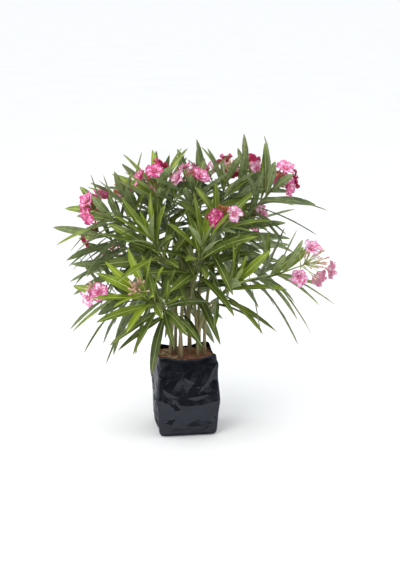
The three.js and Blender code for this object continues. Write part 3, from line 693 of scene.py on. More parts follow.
# Growth that the solids don't have
def grow_finer(room, shoots, limbs):
    """Carries the rule on: young tips, leafy side twigs, and old leaves on the limbs."""
    for shoot in shoots:
        at, axis, _ = spot_on(shoot, shoot.curve, 1)
        for ring, (tilt, scale) in enumerate([] if shoot.blooms + shoot.buds else TIP_RINGS):
            spot = (at + axis * (BARE_TIP - TIP_RING_STEP * ring - 0.003), axis, 0.003)
            phase = shoot.phase + 60 * (shoot.whorls + ring + 1)
            keys = (shoot.order, 300 + ring)
            length = LEAF_LENGTH * scale
            plant(room, shoot.order, spot, phase, keys, tilt, length, 0.0, FINE_FIT, YOUNGEST)
    twigs = []
    for shoot in shoots:
        twig = side_twig(room, shoot)
        if twig:
            twigs.append(twig)
            for whorl in reversed(range(twig.whorls)):
                plant_whorl(room, twig, whorl, FINE_FIT, 0.60 + 0.15 * chance(twig.order, whorl, 72))
    for limb in limbs:
        count = int(limb.path.length() / LIMB_WHORL_STEP)
        for ring in range(count):
            share = 1 - (ring + 0.4) / count
            keys = (limb.number, 500 + ring)
            spot = spot_on(limb, limb.path, share)
            if spot[0][2] > LOWEST_LEAF and chance(*keys, 62) < LIMB_WHORLS:
                length = LEAF_LENGTH * (0.82 + 0.14 * chance(*keys, 63))
                tilt = lerp(94, 78, share)
                plant(room, limb.owner, spot, 60 * ring, keys, tilt, length, 0.6, FINE_FIT, OLDEST)
    return twigs


def twig_fits(room, shoot, at):
    """A twig fits if its points keep clear of limbs but its own, and of leaves and blooms."""
    others = ~((room.owner == shoot.order) & room.is_stem)
    apart = np.linalg.norm(room.at[others][:, None] - at[None], axis=2)
    if (apart < room.radius[others][:, None] + 0.003).any():
        return False
    near = [b for b in room.blades if np.linalg.norm(b.middle - at[0]) < 0.16]
    cut = any(in_flats([b], at, 0.0012, 0.0002, 0.0005).any() for b in near)
    return not cut and not any(in_cone(cone, at, 0.002).any() for cone in room.cones)


def side_twig(room, shoot):
    """A short leafy twig from low on a shoot, or None where there is no room for it."""
    start = shoot.curve.point(TWIG_PLACE)
    axis = shoot.curve.tangent(TWIG_PLACE)
    order = 1000 + 10 * shoot.order
    length = TWIG_LENGTH * (0.8 + 0.5 * chance(order, 71))
    for attempt in range(TWIG_TRIES):
        out = splay(axis, TWIG_TILT, shoot.phase + 55 * attempt + 20 * sway(order, 70))
        knee = start + out * length / 2
        curve = Curve(start, knee, knee + unit(out + UP * 0.5) * length / 2)
        if twig_fits(room, shoot, curve.points(np.linspace(0.15, 1, 12))):
            twig = Thing(name="twig", curve=curve, whorls=2, blooms=0, order=order,
                         phase=360 * chance(order, 77), radius_at=taper(*TWIG_RADII))
            room.add_posts(order, True, curve, twig.radius_at)
            return twig
    return None


# Meshes
def ripple(points, scale, seed, waves=9):
    """Smooth noise from about -1 to 1 at points: plane waves in seeded directions, about this long."""
    rng = np.random.default_rng(seed)
    total = np.zeros(points.shape[:-1])
    for _ in range(waves):
        direction = rng.normal(size=3)
        direction *= FULL_TURN / (scale * rng.uniform(0.6, 1.7) * np.linalg.norm(direction))
        total += np.sin(points @ direction + rng.uniform(0, FULL_TURN))
    return total / math.sqrt(waves)


class Pile:
    """Meshes that are joined into one piece.

    Each face has a look, the number of its material. Each point has its place on the leaf, and says
    whether it is on a thin shell's edge.
    """

    def __init__(self, materials):
        self.materials = materials
        self.points = []
        self.faces = []
        self.looks = []
        self.uvs = []
        self.edges = []
        self.count = 0

    def add(self, points, faces, looks, uv=None, on_edge=None):
        """Adds a mesh. Its faces come as arrays, one for each number of corners, and so do their looks."""
        for part, look in zip(faces, looks):
            self.faces.append(part + self.count)
            self.looks.append(np.broadcast_to(look, len(part)))
        points = points.reshape(-1, 3)
        self.points.append(points)
        self.uvs.append(np.zeros((len(points), 2)) if uv is None else uv)
        self.edges.append(np.zeros(len(points), bool) if on_edge is None else on_edge)
        self.count += len(points)

    def make(self, name):
        """The joined piece. Faces meet sharply along the edges of thin shells."""
        mesh = bpy.data.meshes.new(name)
        points = np.concatenate(self.points)
        corners = np.concatenate([f.ravel() for f in self.faces])
        sizes = np.concatenate([np.full(len(f), f.shape[1]) for f in self.faces])
        mesh.vertices.add(len(points))
        mesh.vertices.foreach_set("co", points.ravel())
        mesh.loops.add(len(corners))
        mesh.loops.foreach_set("vertex_index", corners)
        mesh.polygons.add(len(sizes))
        mesh.polygons.foreach_set("loop_start", np.cumsum(sizes) - sizes)
        mesh.polygons.foreach_set("material_index", np.concatenate(self.looks).astype(np.int32))
        mesh.polygons.foreach_set("use_smooth", np.ones(len(sizes), bool))
        mesh.uv_layers.new(name="blade").data.foreach_set("uv", np.concatenate(self.uvs)[corners].ravel())
        mesh.update(calc_edges=True)
        ends = np.zeros(2 * len(mesh.edges), int)
        mesh.edges.foreach_get("vertices", ends)
        on_edge = np.concatenate(self.edges)[ends.reshape(-1, 2)].all(1)
        mesh.attributes.new("sharp_edge", "BOOLEAN", "EDGE").data.foreach_set("value", on_edge)
        for material in self.materials:
            mesh.materials.append(material)
        return linked(name, mesh)


def linked(name, data):
    """A new object in the scene."""
    thing = bpy.data.objects.new(name, data)
    bpy.context.scene.collection.objects.link(thing)
    return thing


def shells(pile, grids, thickness, looks, under_looks, uv=None):
    """Adds closed thin shells, each over a grid of points. Rows run forwards, columns from left to right."""
    count, rows, cols, _ = grids.shape
    normal = np.cross(np.gradient(grids, axis=2), np.gradient(grids, axis=1))
    normal /= np.maximum(np.linalg.norm(normal, axis=3, keepdims=True), 1e-12)

    def with_under(top, under):
        inner = under[:, 1:-1, 1:-1]
        return np.concatenate([part.reshape(count, -1, part.shape[-1]) for part in (top, inner)], axis=1)

    def quads(g):
        return np.stack([g[:-1, :-1], g[:-1, 1:], g[1:, 1:], g[1:, :-1]], -1).reshape(-1, 4)

    points = with_under(grids, grids - normal * thickness)
    top = np.arange(rows * cols).reshape(rows, cols)
    under = top.copy()
    under[1:-1, 1:-1] = rows * cols + np.arange((rows - 2) * (cols - 2)).reshape(rows - 2, cols - 2)
    faces = np.concatenate([quads(top), quads(under)[:, ::-1]])
    faces = (faces[None] + points.shape[1] * np.arange(count)[:, None, None]).reshape(-1, 4)
    shape = (count, rows - 1, cols - 1)
    look = [np.broadcast_to(part, shape).reshape(count, -1) for part in (looks, under_looks)]
    edge = np.ones(points.shape[1], bool)
    edge[top[1:-1, 1:-1]] = False
    edge[rows * cols:] = False
    if uv is not None:
        uv = with_under(uv, uv).reshape(-1, 2)
    pile.add(points, [faces], [np.concatenate(look, axis=1).ravel()], uv, np.tile(edge, count))


def circle(first, second, sides):
    """Directions all round, from the first of two that are square to each other."""
    turn = np.arange(sides) / sides * FULL_TURN
    return first * np.cos(turn)[:, None] + second * np.sin(turn)[:, None]


def skin(pile, rings, foot, top, looks=0):
    """Adds a closed skin through rings of points, with a fan to a point at either end."""
    rings = np.array(rings)
    count, sides, _ = rings.shape
    grid = np.arange(count * sides).reshape(count, sides)
    nxt = np.roll(grid, -1, axis=1)
    side = np.stack([grid[:-1], nxt[:-1], nxt[1:], grid[1:]], -1).reshape(-1, 4)
    end = np.full(sides, count * sides)
    fans = np.hstack([[end, nxt[0], grid[0]], [end + 1, grid[-1], nxt[-1]]]).T
    looks = np.broadcast_to(looks, count + 1)
    points = np.concatenate([rings.reshape(-1, 3), [foot, top]])
    pile.add(points, [side, fans], [np.repeat(looks[1:-1], sides), np.repeat(looks[[0, -1]], sides)])


def tube(pile, path, radii, sides, look=0):
    """Adds a closed tube along a path. Radii are one for each point of it, or one for each corner."""
    axis = units(np.gradient(path, axis=0))
    reference = np.eye(3)[np.argmin(np.abs(axis.mean(0)))]
    first = units(reference - axis * (axis @ reference)[:, None])
    ring = circle(first[:, None], np.cross(axis, first)[:, None], sides)
    if np.ndim(radii) < 2:
        radii = np.reshape(radii, (-1, 1))
    skin(pile, path[:, None] + ring * radii[..., None], path[0], path[-1], look)


def spun(pile, at, axis, profile, sides, looks):
    """Adds a closed shape of revolution: (radius, height) from one point on the axis to another."""
    ring = circle(*across(axis), sides)
    rings = [at + axis * height + ring * radius for radius, height in profile]
    skin(pile, rings[1:-1], rings[0][0], rings[-1][0], looks)


# Leaves
def every(leaves, name):
    """One fact of every leaf."""
    return np.array([getattr(leaf, name) for leaf in leaves])[:, None]


def drawn(leaves, key, low, high):
    """A random number for every leaf."""
    return np.array([between(low, high, *leaf.keys, key) for leaf in leaves])[:, None]


def leaf_ribs(leaves):
    """The curved midribs of leaves, and the ways across the blade and up from it at each point of them."""
    share = LEAF_SHARES[None]
    direction, side, length = (every(leaves, name) for name in ("direction", "side", "length"))
    rib = every(leaves, "root") + direction * (share * length)[..., None]
    rib[..., 2] -= 0.5 * every(leaves, "sag") * share ** 2 * length
    rib += side * (drawn(leaves, 11, -0.08, 0.08) * share ** 2 * length)[..., None]
    rib -= np.cross(side, direction) * (drawn(leaves, 16, -0.02, 0.10) * share ** 2.2 * length)[..., None]
    axis = units(np.gradient(rib, axis=1))
    normal = units(np.cross(np.broadcast_to(side, axis.shape), axis))
    twist = (drawn(leaves, 12, -0.4, 0.4) * share)[..., None]
    turned = np.cross(axis, normal) * np.cos(twist) + normal * np.sin(twist)
    return rib, turned, np.cross(turned, axis)


def leaf_grids(leaves):
    """Leaves as grids of points, and each point's place on its leaf."""
    rib, turned, raised = leaf_ribs(leaves)
    share = LEAF_SHARES[None]
    length = every(leaves, "length")
    size = length / LEAF_LENGTH
    along = share ** 1.1
    body = np.maximum((4 * along * (1 - along)) ** 0.8, 0.13 * (1 - share) ** 3 + 0.012)
    half = size * 0.5 * LEAF_WIDTH * drawn(leaves, 13, 0.90, 1.06) * body
    rib_half = np.minimum(half * 0.4, size * (0.00105 - 0.0007 * share))
    aside = LEAF_ACROSS[None, None] * np.ones((*half.shape, 1))
    out = aside * half[..., None]
    out[..., 2] = -rib_half
    out[..., 3] = rib_half
    bowl = drawn(leaves, 14, 0.10, 0.34)[..., None]
    wave = 0.05 * np.sin(FULL_TURN * (3.2 * share + drawn(leaves, 15, 0, 1)))[..., None]
    rise = half[..., None] * (bowl * np.abs(aside) ** 1.3 + wave * aside ** 2 * np.sign(aside))
    rise[..., 2:4] = -0.00035 * size[..., None]
    grid = rib[:, :, None] + turned[:, :, None] * out[..., None] + raised[:, :, None] * rise[..., None]
    run = np.broadcast_to((share * length)[..., None], out.shape)
    return grid, np.stack([run, np.abs(out)], -1)


def leaf_piece(tone, leaves):
    """All leaves of one tone. The middle strip is the midrib, above and below."""
    pile = Pile(leaf_materials(tone))
    grid, place = leaf_grids(leaves)
    strips = np.arange(len(LEAF_ACROSS) - 1) == 2
    under = np.where(strips, LEAF_RIB, LEAF_UNDER)
    shells(pile, grid, LEAF_SHELL, np.where(strips, LEAF_RIB, LEAF_FACE), under, place)
    return pile.make("leaves_" + tone)


# Blooms and buds
def spokes(facing, turn, seeds, jitter):
    """For each seed, the outward direction of a part set round an axis, and the way square to both."""
    first, second = across(facing)
    for number, keys in enumerate(seeds):
        angle = turn + math.radians(360 / len(seeds) * number + jitter * sway(*keys, 1))
        outward = first * math.cos(angle) + second * math.sin(angle)
        yield keys, outward, cross(facing, outward)


def steps(rows, cols):
    """Shares from 0 to 1 down a grid's rows, and places from -1 to 1 across its columns."""
    return np.linspace(0, 1, rows)[:, None], np.linspace(-1, 1, cols)[None]


def petal_looks(keys):
    """The faces of a petal: its throat, a pale flush that narrows towards the tip, and its margin."""
    row = np.arange(PETAL_RINGS - 1)[:, None]
    off = np.abs(np.arange(PETAL_ACROSS - 1)[None] - (PETAL_ACROSS / 2 - 1 + 1.3 * sway(*keys, 5)))
    wide = between(3.9, 2.6, *keys, 6) - row * between(0.34, 0.62, *keys, 7)
    streak = (row < 4) & (off < 0.8)
    return np.where((row < 2) | streak, THROAT, np.where(off < wide, FLUSH, INSIDE))


def petals(pile, rim, facing, radius, turn, open_, seed):
    """Five slanting petals that overlap like a propeller round the mouth of a bloom's tube."""
    share, side = steps(PETAL_RINGS, PETAL_ACROSS)
    half = radius * 0.45 * (0.18 + 0.82 * np.minimum(share / 0.62, 1) ** 0.8)
    half = half * np.sqrt(1 - (0.996 * np.maximum((share - 0.55) / 0.45, 0)) ** 2) + 0.0002
    out = side * half + radius * 0.16 * share ** 1.4
    cup = 0.09 * side * share + 0.16 * side ** 2 * share - 0.20 * share ** 3
    grids = []
    looks = []
    for keys, outward, level in spokes(facing, turn, [(*seed, petal) for petal in range(PETALS)], 5):
        run = lerp(0.13, 1, share) * radius * (0.97 + 0.07 * sway(*keys, 2))
        run = run - radius * 0.07 * np.abs(side + 0.25) * share ** 4
        ruffle = 0.075 * np.sin(5 * side + 7 * share + 6 * chance(*keys, 3)) * share ** 1.5
        lift = radius * ((open_ + 0.14 * sway(*keys, 4)) * share ** 1.15 + cup + ruffle)
        grids.append(rim + outward * run[..., None] - level * out[..., None] + facing * lift[..., None])
        looks.append(petal_looks(keys))
    shells(pile, np.array(grids), PETAL_SHELL, np.array(looks), BACK)


def corona(pile, rim, facing, radius, turn, seed):
    """The fringe of narrow ragged teeth in a bloom's throat."""
    share, side = steps(4, 3)
    out = (side * radius * 0.038 * (1.02 - share))[..., None]
    curl = (0.002 * side ** 2 * share)[..., None]
    grids = []
    for keys, outward, level in spokes(facing, turn, [(*seed, 40 + tooth) for tooth in range(TEETH)], 7):
        tall = (share * radius * between(0.20, 0.34, *keys, 2))[..., None]
        lean = outward * 0.5 + facing * 0.85
        grids.append(rim + outward * radius * 0.16 + lean * tall + level * out + facing * curl)
    shells(pile, np.array(grids), TOOTH_SHELL, THROAT, THROAT)


def calyx(pile, foot, facing, size, turn):
    """Five pointed sepals that hug the foot of a bloom or bud."""
    share, side = steps(5, 3)
    out = (side * size * 0.17 * (1.01 - share))[..., None]
    stand = (0.0013 + size * (0.12 * share + 0.10 * share ** 3))[..., None]
    rise = facing * (share * size - 0.001)[..., None]
    ways = spokes(facing, turn, [(sepal,) for sepal in range(SEPALS)], 0)
    grids = [foot + rise + outward * stand + level * out for _, outward, level in ways]
    shells(pile, np.array(grids), SEPAL_SHELL, CALYX, CALYX)


def bloom(pile, item, open_):
    """A bloom: tube that widens to its mouth, anthers, petals, and the fringe round them."""
    radius = item.cone.radius
    facing = item.facing
    foot = item.root + facing * item.length
    depth = BLOOM_DEPTH - radius * 0.16
    mouth = foot + facing * depth
    own = (item.order, item.number)
    turn = FULL_TURN * chance(*own, 21)
    outer = [(lerp(0.0013, radius * 0.19, s ** 1.7) + 0.0004 * math.sin(math.pi * s), depth * s)
             for s in np.linspace(0, 1, 9)]
    inner = [(0.62 * r, h) for r, h in outer[::-1][:4]]
    profile = [(0, 0), *outer, (outer[-1][0] * 0.93, depth + 0.0003), *inner, (0, inner[-1][1] - 0.0005)]
    spun(pile, foot, facing, profile, 14, [TUBE] * (len(outer) + 1) + [THROAT] * (len(inner) + 1))
    anthers = [
        (0, depth * 0.4), (0.0011, depth * 0.42), (0.0017, depth * 0.75), (0.0009, depth + 0.002),
        (0.0002, depth + 0.0045), (0, depth + 0.0047),
    ]
    spun(pile, foot, facing, anthers, 7, CREAM)
    petals(pile, mouth, facing, radius, turn, open_, (*own, 30))
    if chance(*own, 22) < DOUBLE_BLOOMS:
        petals(pile, mouth, facing, radius * 0.60, turn + 0.6, open_ + 0.55, (*own, 32))
    corona(pile, mouth, facing, radius, turn, (*own, 31))


def bud(pile, foot, facing, length, radius, seed):
    """A spindle with the spiral ridges of its folded petals."""
    share = BUD_SHARES[:, None]
    twist = 6 * share + 15 * chance(*seed, 9) + 5 * np.arange(BUD_SIDES) / BUD_SIDES * FULL_TURN
    ridge = 1 + 0.13 * np.sin(twist) * np.clip(share * 2 - 0.6, 0, 1)
    bend = splay(facing, 90, 360 * chance(*seed, 10)) * length * 0.07
    middle = foot + facing * share * length + bend * share ** 2
    reach = radius * BUD_WIDTHS[:, None] * ridge
    rings = middle[:, None] + circle(*across(facing), BUD_SIDES) * reach[..., None]
    skin(pile, rings[1:-1], middle[0], middle[-1], BUD_SKIN)


def stalk(pile, start, end, start_radius, end_radius, seed, sag=0.04):
    """A thin stalk, a little bowed and thicker at both ends."""
    share = np.linspace(0, 1, 7)
    run = end - start
    bow = splay(unit(run), 90, 360 * chance(*seed, 5)) * np.linalg.norm(run) * sag
    path = start + run * share[:, None] + bow * np.sin(math.pi * share)[:, None]
    tube(pile, path, lerp(start_radius, end_radius, share) * (1 + 0.35 * (2 * share - 1) ** 6), 8, STALK)


def dress_heads(shoots, room):
    """Blooms, buds and stalks as three kinds of bloom piece and three of bud piece."""
    blooms = {kind: Pile(bloom_materials(kind)) for kind in BLOOM_COLOURS}
    buds = {kind: Pile(bud_materials(kind)) for kind in BUD_COLOURS}
    for shoot in shoots:
        if not shoot.items:
            continue
        green = buds[HEAD_BUDS.get(shoot.name, "pink")]
        end, axis, _ = spot_on(shoot, shoot.curve, 1)
        top = end + axis * (shoot.stalk + (shoot.head_whorls - 1) * HEAD_SPACING)
        path = end + (top - end) * np.linspace(-0.05, 1, 7)[:, None]
        tube(green, path, np.linspace(0.0021, 0.0014, 7), 9, STALK)
        pale, rose = HEAD_BLOOMS.get(shoot.name, USUAL_BLOOMS)
        for item in shoot.items:
            seed = (item.order, 700 + item.number)
            foot = item.root + item.facing * item.length
            stalk(green, item.root, foot, 0.0011, 0.0009, seed, 0.0)
            if item.cone is None:
                length = BUD_LENGTH * between(0.8, 1.1, *seed, 1)
                bud(green, foot, item.facing, length, BUD_RADIUS * between(0.85, 1.05, *seed, 2), seed)
            else:
                draw = chance(*seed, 4)
                kind = "pale" if draw < pale else "rose" if draw < rose else "magenta"
                bloom(blooms[kind], item, between(0.04, 0.50, *seed, 6))
            calyx(green, foot, item.facing, 0.0052 if item.cone else 0.0042, 6 * chance(*seed, 3))
        small_buds(green, shoot, top, axis, room)
    pieces = [pile.make("blooms_" + kind) for kind, pile in blooms.items()]
    return pieces + [pile.make("buds_" + kind) for kind, pile in buds.items()]


def small_buds(pile, shoot, top, axis, room):
    """Clusters of young buds at the end of a head's stalk, and between its blooms."""
    for number in range(SMALL_BUDS):
        seed = (shoot.order, 800 + number)
        tilt = lerp(6, 0.85 * shoot.spread, (number + 0.5) / SMALL_BUDS)
        facing = splay(axis, tilt, 137.5 * number + 40 * sway(*seed, 2))
        length = between(0.007, 0.015, *seed, 3)
        foot = top + facing * shoot.pedicel * between(0.40, 1.05, *seed, 1)
        points = foot + facing * (length * np.linspace(-1.5, 1, 6))[:, None]
        if any(in_cone(cone, points, 0.001).any() for cone in room.cones):
            continue
        stalk(pile, top - axis * 0.001, foot, 0.0009, 0.0006, seed, 0.08)
        bud(pile, foot, facing, length, 0.021 * length ** 0.5, seed)
        calyx(pile, foot, facing, 0.0026, 6 * chance(*seed, 4))


# Stems, boughs and twigs
def dress_twigs(shoots, twigs):
    """The green stems of the shoots, ringed at their whorls, and of the side twigs."""
    pile = Pile([twig_material()])
    ribs = 1 + 0.05 * np.cos(3 * np.arange(12) / 12 * FULL_TURN)
    for shoot in shoots:
        share = np.linspace(0, 1, shoot.whorls * 14)
        node = share * (shoot.whorls - 0.3) - 0.7
        swell = 1 + 0.16 * np.exp(-((node - np.round(node)) / 0.1) ** 2)
        tube(pile, shoot.curve.points(share), (lerp(0.0030, 0.0021, share) * swell)[:, None] * ribs[None], 12)
    for twig in twigs:
        share = np.linspace(0, 1, 16)
        tube(pile, twig.curve.points(share), twig.radius_at(share), 8)
    return pile.make("twigs")


def dress_limb(limb):
    """A stem or bough with the ridges, lenticels and leaf scars of its bark."""
    length = limb.path.length()
    share = np.linspace(0, 1, int(length / BARK_RING_STEP))[:, None]
    turn = np.arange(BARK_SIDES) / BARK_SIDES * FULL_TURN
    height = share * length
    seed = 31 * limb.number + 7
    spots = np.stack(np.broadcast_arrays(np.cos(turn) * 0.9, np.sin(turn) * 0.9, height / 0.006), -1)
    relief = 0.022 * ripple(spots, 2.2, seed) + 0.02 * ripple(spots * (1, 1, 0.22), 0.9, seed + 1)
    for scar in range(int(length / SCAR_STEP)):
        above = height - (scar + 0.4) * SCAR_STEP
        relief += 0.10 * np.exp(-(above / 0.0011) ** 2) * (0.45 + 0.55 * np.cos(3 * turn + 60 * scar) ** 2)
        relief -= 0.05 * np.exp(-((above - 0.0022) / 0.0009) ** 2)
    rng = np.random.default_rng(seed + 2)
    for _ in range(int(length / LENTICEL_STEP)):
        at, way = rng.uniform(0, length), rng.uniform(0, FULL_TURN)
        relief += 0.085 * np.exp(-((height - at) / 0.0010) ** 2) * np.exp((np.cos(turn - way) - 1) * 9)
    pile = Pile([bark_material()])
    radii = limb.radius_at(share) * (0.93 + relief * 0.75)
    tube(pile, limb.path.points(share[:, 0]), radii, BARK_SIDES)
    return pile.make("bark_" + limb.name)


# Bag and soil
def bag_section(turn, share, out=0.0):
    """Points of the bag's film at turns round it and a share of its height, moved out by this much."""
    belly = np.maximum(np.sin(math.pi * share ** 0.85), 0) ** 0.45
    swell = lerp(BAG_FOOT_SHARE, BAG_RIM_SHARE, share) + BAG_BELLY * belly
    c, s = np.cos(turn), np.sin(turn)
    section = (np.abs(c) ** BAG_CORNER + np.abs(s) ** BAG_CORNER) ** (-1 / BAG_CORNER)
    scale = section * swell * (1 + 0.006 * np.sin(3 * turn + 7 * share) * np.sin(math.pi * share))
    sag = 1 + np.interp(share, *zip(*BAG_FRONT)) * np.maximum(-s, 0)
    wide = c * (BAG_WIDTH / 2 * scale + out)
    deep = s * (BAG_DEPTH / 2 * scale * sag + out)
    a = math.radians(BAG_TURN)
    x = wide * math.cos(a) - deep * math.sin(a)
    y = wide * math.sin(a) + deep * math.cos(a)
    return np.stack([x, y], -1) + BAG_MIDDLE


def shrunk(points, by):
    """The points moved about this much nearer to the bag's middle line."""
    moved = np.array(points)
    moved[:, :2] = BAG_MIDDLE + (moved[:, :2] - BAG_MIDDLE) * (1 - np.reshape(by, (-1, 1)) / BAG_REACH)
    return moved


def stray_folds(girth):
    """Folds of the film at random places, shallow on the front and near the rim."""
    rng = np.random.default_rng(FOLD_SEED)
    folds = []
    for _ in range(STRAY_FOLDS):
        at = rng.uniform(-0.5, 0.5) * girth
        height = rng.uniform(0.006, 0.180)
        lean = rng.normal(0, 0.55)
        half = rng.uniform(0.010, 0.038)
        out = rng.uniform(0.0009, 0.0034)
        if abs(at) < 0.068:
            out *= 0.30
        if height > 0.125:
            out *= 0.5
        along, rise = half * math.cos(lean), half * math.sin(lean)
        widths = rng.uniform(0.008, 0.026, 2)
        folds.append((at - along, height - rise, at + along, height + rise, out, *widths))
    return folds


def film_relief(around, height, girth, folds):
    """How far the folds lift the film at distances round it from the middle of its front.

    Each fold is a low pyramid on a diamond, whose long diagonal is the fold's ridge: four flat facets.
    """
    lift = np.zeros(len(around))
    for left, start, right, stop, out, above, below in folds:
        half = math.hypot(right - left, stop - start) / 2
        run, climb = (right - left) / (2 * half), (stop - start) / (2 * half)
        aside = (around - (left + right) / 2 + girth / 2) % girth - girth / 2
        rise = height - (start + stop) / 2
        on = aside * run + rise * climb
        off = rise * run - aside * climb
        lift += out * np.maximum(1 - np.abs(on) / half - np.where(off > 0, off / above, -off / below), 0)
    return lift * np.clip(height / 0.004, 0, 1) * np.clip((BAG_HEIGHT - height) / 0.015, 0.2, 1)


def rim_rise(turn):
    """How much the rim rises towards its corners, and its small waves."""
    waves = 0.0009 * ripple(np.stack([np.cos(turn), np.sin(turn), 0 * turn], -1) * 0.078, 0.02, 71)
    return RIM_EAR * np.abs(np.sin(2 * turn)) ** 4 + waves


def dress_bag():
    """The bag as one shell of film: up the outside, over the rim, and down the inside to its floor."""
    turn = (np.arange(BAG_COLUMNS) / BAG_COLUMNS - 0.25) * FULL_TURN
    # Levels stand closer together at the foot and the rim
    foot, top = np.linspace(0, 0.06, 8)[:-1], np.linspace(0.94, 1, 9)[1:]
    share = np.concatenate([foot, np.linspace(0.06, 0.94, 104), top])
    middle = bag_section(turn, 0.5)
    sides = np.linalg.norm(np.roll(middle, -1, axis=0) - middle, axis=1)
    girth = sides.sum()
    around = np.cumsum(sides) - sides[0]
    folds = [tuple(np.array(fold) / 1000) for fold in FILM_FOLDS] + stray_folds(girth)
    rings = []
    for level in share:
        lift = film_relief(around, level * BAG_HEIGHT, girth, folds)
        at = shrunk(bag_section(turn, level, lift), 0.0022 * max(1 - level / 0.03, 0) ** 2)
        rise = level * (BAG_HEIGHT - RIM_DIP) + rim_rise(turn) * np.clip((level - 0.8) / 0.2, 0, 1)
        rings.append(np.column_stack([at, rise]))
    over = shrunk(rings[-1], FILM * 0.5) + (0, 0, FILM * 0.5)
    inside = [shrunk(rings[np.argmin(np.abs(share - level))], FILM) for level in FILM_INSIDE]
    pile = Pile([film_material()])
    skin(pile, rings + [over] + inside, (*BAG_MIDDLE, 0.0), (*BAG_MIDDLE, BAG_FLOOR))
    return pile.make("film_bag")


def soil_height(x, y):
    """The height of the bed, with its mounds and its grain."""
    flat = np.stack([x, y, 0 * x], -1)
    return SOIL_TOP - SOIL_DIP + 0.0011 * ripple(flat, 0.030, 81) + 0.0006 * ripple(flat, 0.009, 82)


def soil_edge(turn):
    """The bed's edge, just inside the film."""
    return bag_section(turn, 0.97, -FILM - SOIL_GAP)


def bed_spot(rng, reach):
    """A random place on the bed of coir."""
    edge = soil_edge(rng.uniform(0, FULL_TURN))
    x, y = BAG_MIDDLE + (edge - BAG_MIDDLE) * reach * math.sqrt(rng.uniform(0, 1))
    return np.array([x, y, soil_height(x, y)])


def spin(angle):
    """A matrix that turns rows of points round the upright."""
    c, s = math.cos(angle), math.sin(angle)
    return np.array([[c, s, 0], [-s, c, 0], [0, 0, 1.0]])


def add_bed(pile):
    """A rough bed that closes below, out of sight."""
    turn = np.arange(96) / 96 * FULL_TURN
    rings = []
    for share in np.linspace(1, 0.03, 34):
        at = BAG_MIDDLE + (soil_edge(turn) - BAG_MIDDLE) * share
        rough = 0.0005 * ripple(np.column_stack([at, 0 * turn]), 0.004, 83)
        rings.append(np.column_stack([at, soil_height(*at.T) + rough]))
    low = rings[0] * (1, 1, 0) + (0, 0, SOIL_FOOT)
    skin(pile, [low, *rings], (*BAG_MIDDLE, SOIL_FOOT), (*BAG_MIDDLE, rings[-1][:, 2].mean()), COIR)


def add_crumbs(pile, rng):
    """Uneven lumps with eight faces."""
    ball = np.array([[1, 0, 0], [0, 1, 0], [-1, 0, 0], [0, -1, 0], [0, 0, 1], [0, 0, -1]], float)
    faces = np.array([[0, 1, 4], [1, 2, 4], [2, 3, 4], [3, 0, 4], [1, 0, 5], [2, 1, 5], [3, 2, 5], [0, 3, 5]])
    for _ in range(CRUMBS):
        at = bed_spot(rng, 0.94)
        size = rng.uniform(0.0009, 0.0030) * rng.uniform(0.5, 1)
        lump = ball * rng.uniform(0.6, 1.2, (6, 1)) * rng.uniform(0.6, 1.2, 3) * size
        pile.add(at + lump @ spin(rng.uniform(0, FULL_TURN)) + (0, 0, size * 0.35), [faces], [COIR])


def add_fibres(pile, rng):
    """Short fibres that arch a little over the bed."""
    share = np.linspace(-0.5, 0.5, 6)
    arch = 1 - 4 * share ** 2
    for _ in range(FIBRES):
        at = bed_spot(rng, 0.92)
        way = rng.uniform(0, FULL_TURN)
        length = rng.uniform(0.005, 0.016)
        bow = rng.uniform(-0.25, 0.25) * length
        path = np.column_stack([share * length, bow * arch, 0.0007 + 0.0012 * arch]) @ spin(way)
        tube(pile, at + path, FIBRE_RADIUS, 5, COIR)


def add_fallen_leaves(pile):
    """Dry bits of leaf on the bed's left."""
    share, side = steps(7, 4)
    share = share - 0.5
    wide = side * (0.0042 * np.sqrt(np.maximum(1 - (2 * share) ** 2, 0)) + 0.0003)
    curl = 0.0012 * side ** 2 + 0.002 * (2 * share) ** 2
    for number in range(FALLEN_BITS):
        x, y = between(-0.066, -0.030, number, 91), between(-0.052, 0.030, number, 92)
        at = (x, y, soil_height(x, y) + 0.0012)
        flat = np.stack([share * between(0.018, 0.034, number, 93) + 0 * side, wide, curl], -1)
        turned = flat @ spin(FULL_TURN * chance(number, 94))
        shells(pile, (at + turned)[None], FALLEN_SHELL, DRY_LEAF, DRY_LEAF)


def dress_soil():
    """The coir: a rough bed, with crumbs, fibres and bits of leaf on it."""
    pile = Pile([soil_material(), dry_leaf_material()])
    rng = np.random.default_rng(CRUMB_SEED)
    add_bed(pile)
    add_crumbs(pile, rng)
    add_fibres(pile, rng)
    add_fallen_leaves(pile)
    return pile.make("coir")


# Materials
def linear(colour):
    """A colour given as 0 to 255 of each light, as a renderer wants it."""
    shares = [c / 255 for c in colour]
    return (*(s / 12.92 if s <= 0.04045 else ((s + 0.055) / 1.055) ** 2.4 for s in shares), 1)


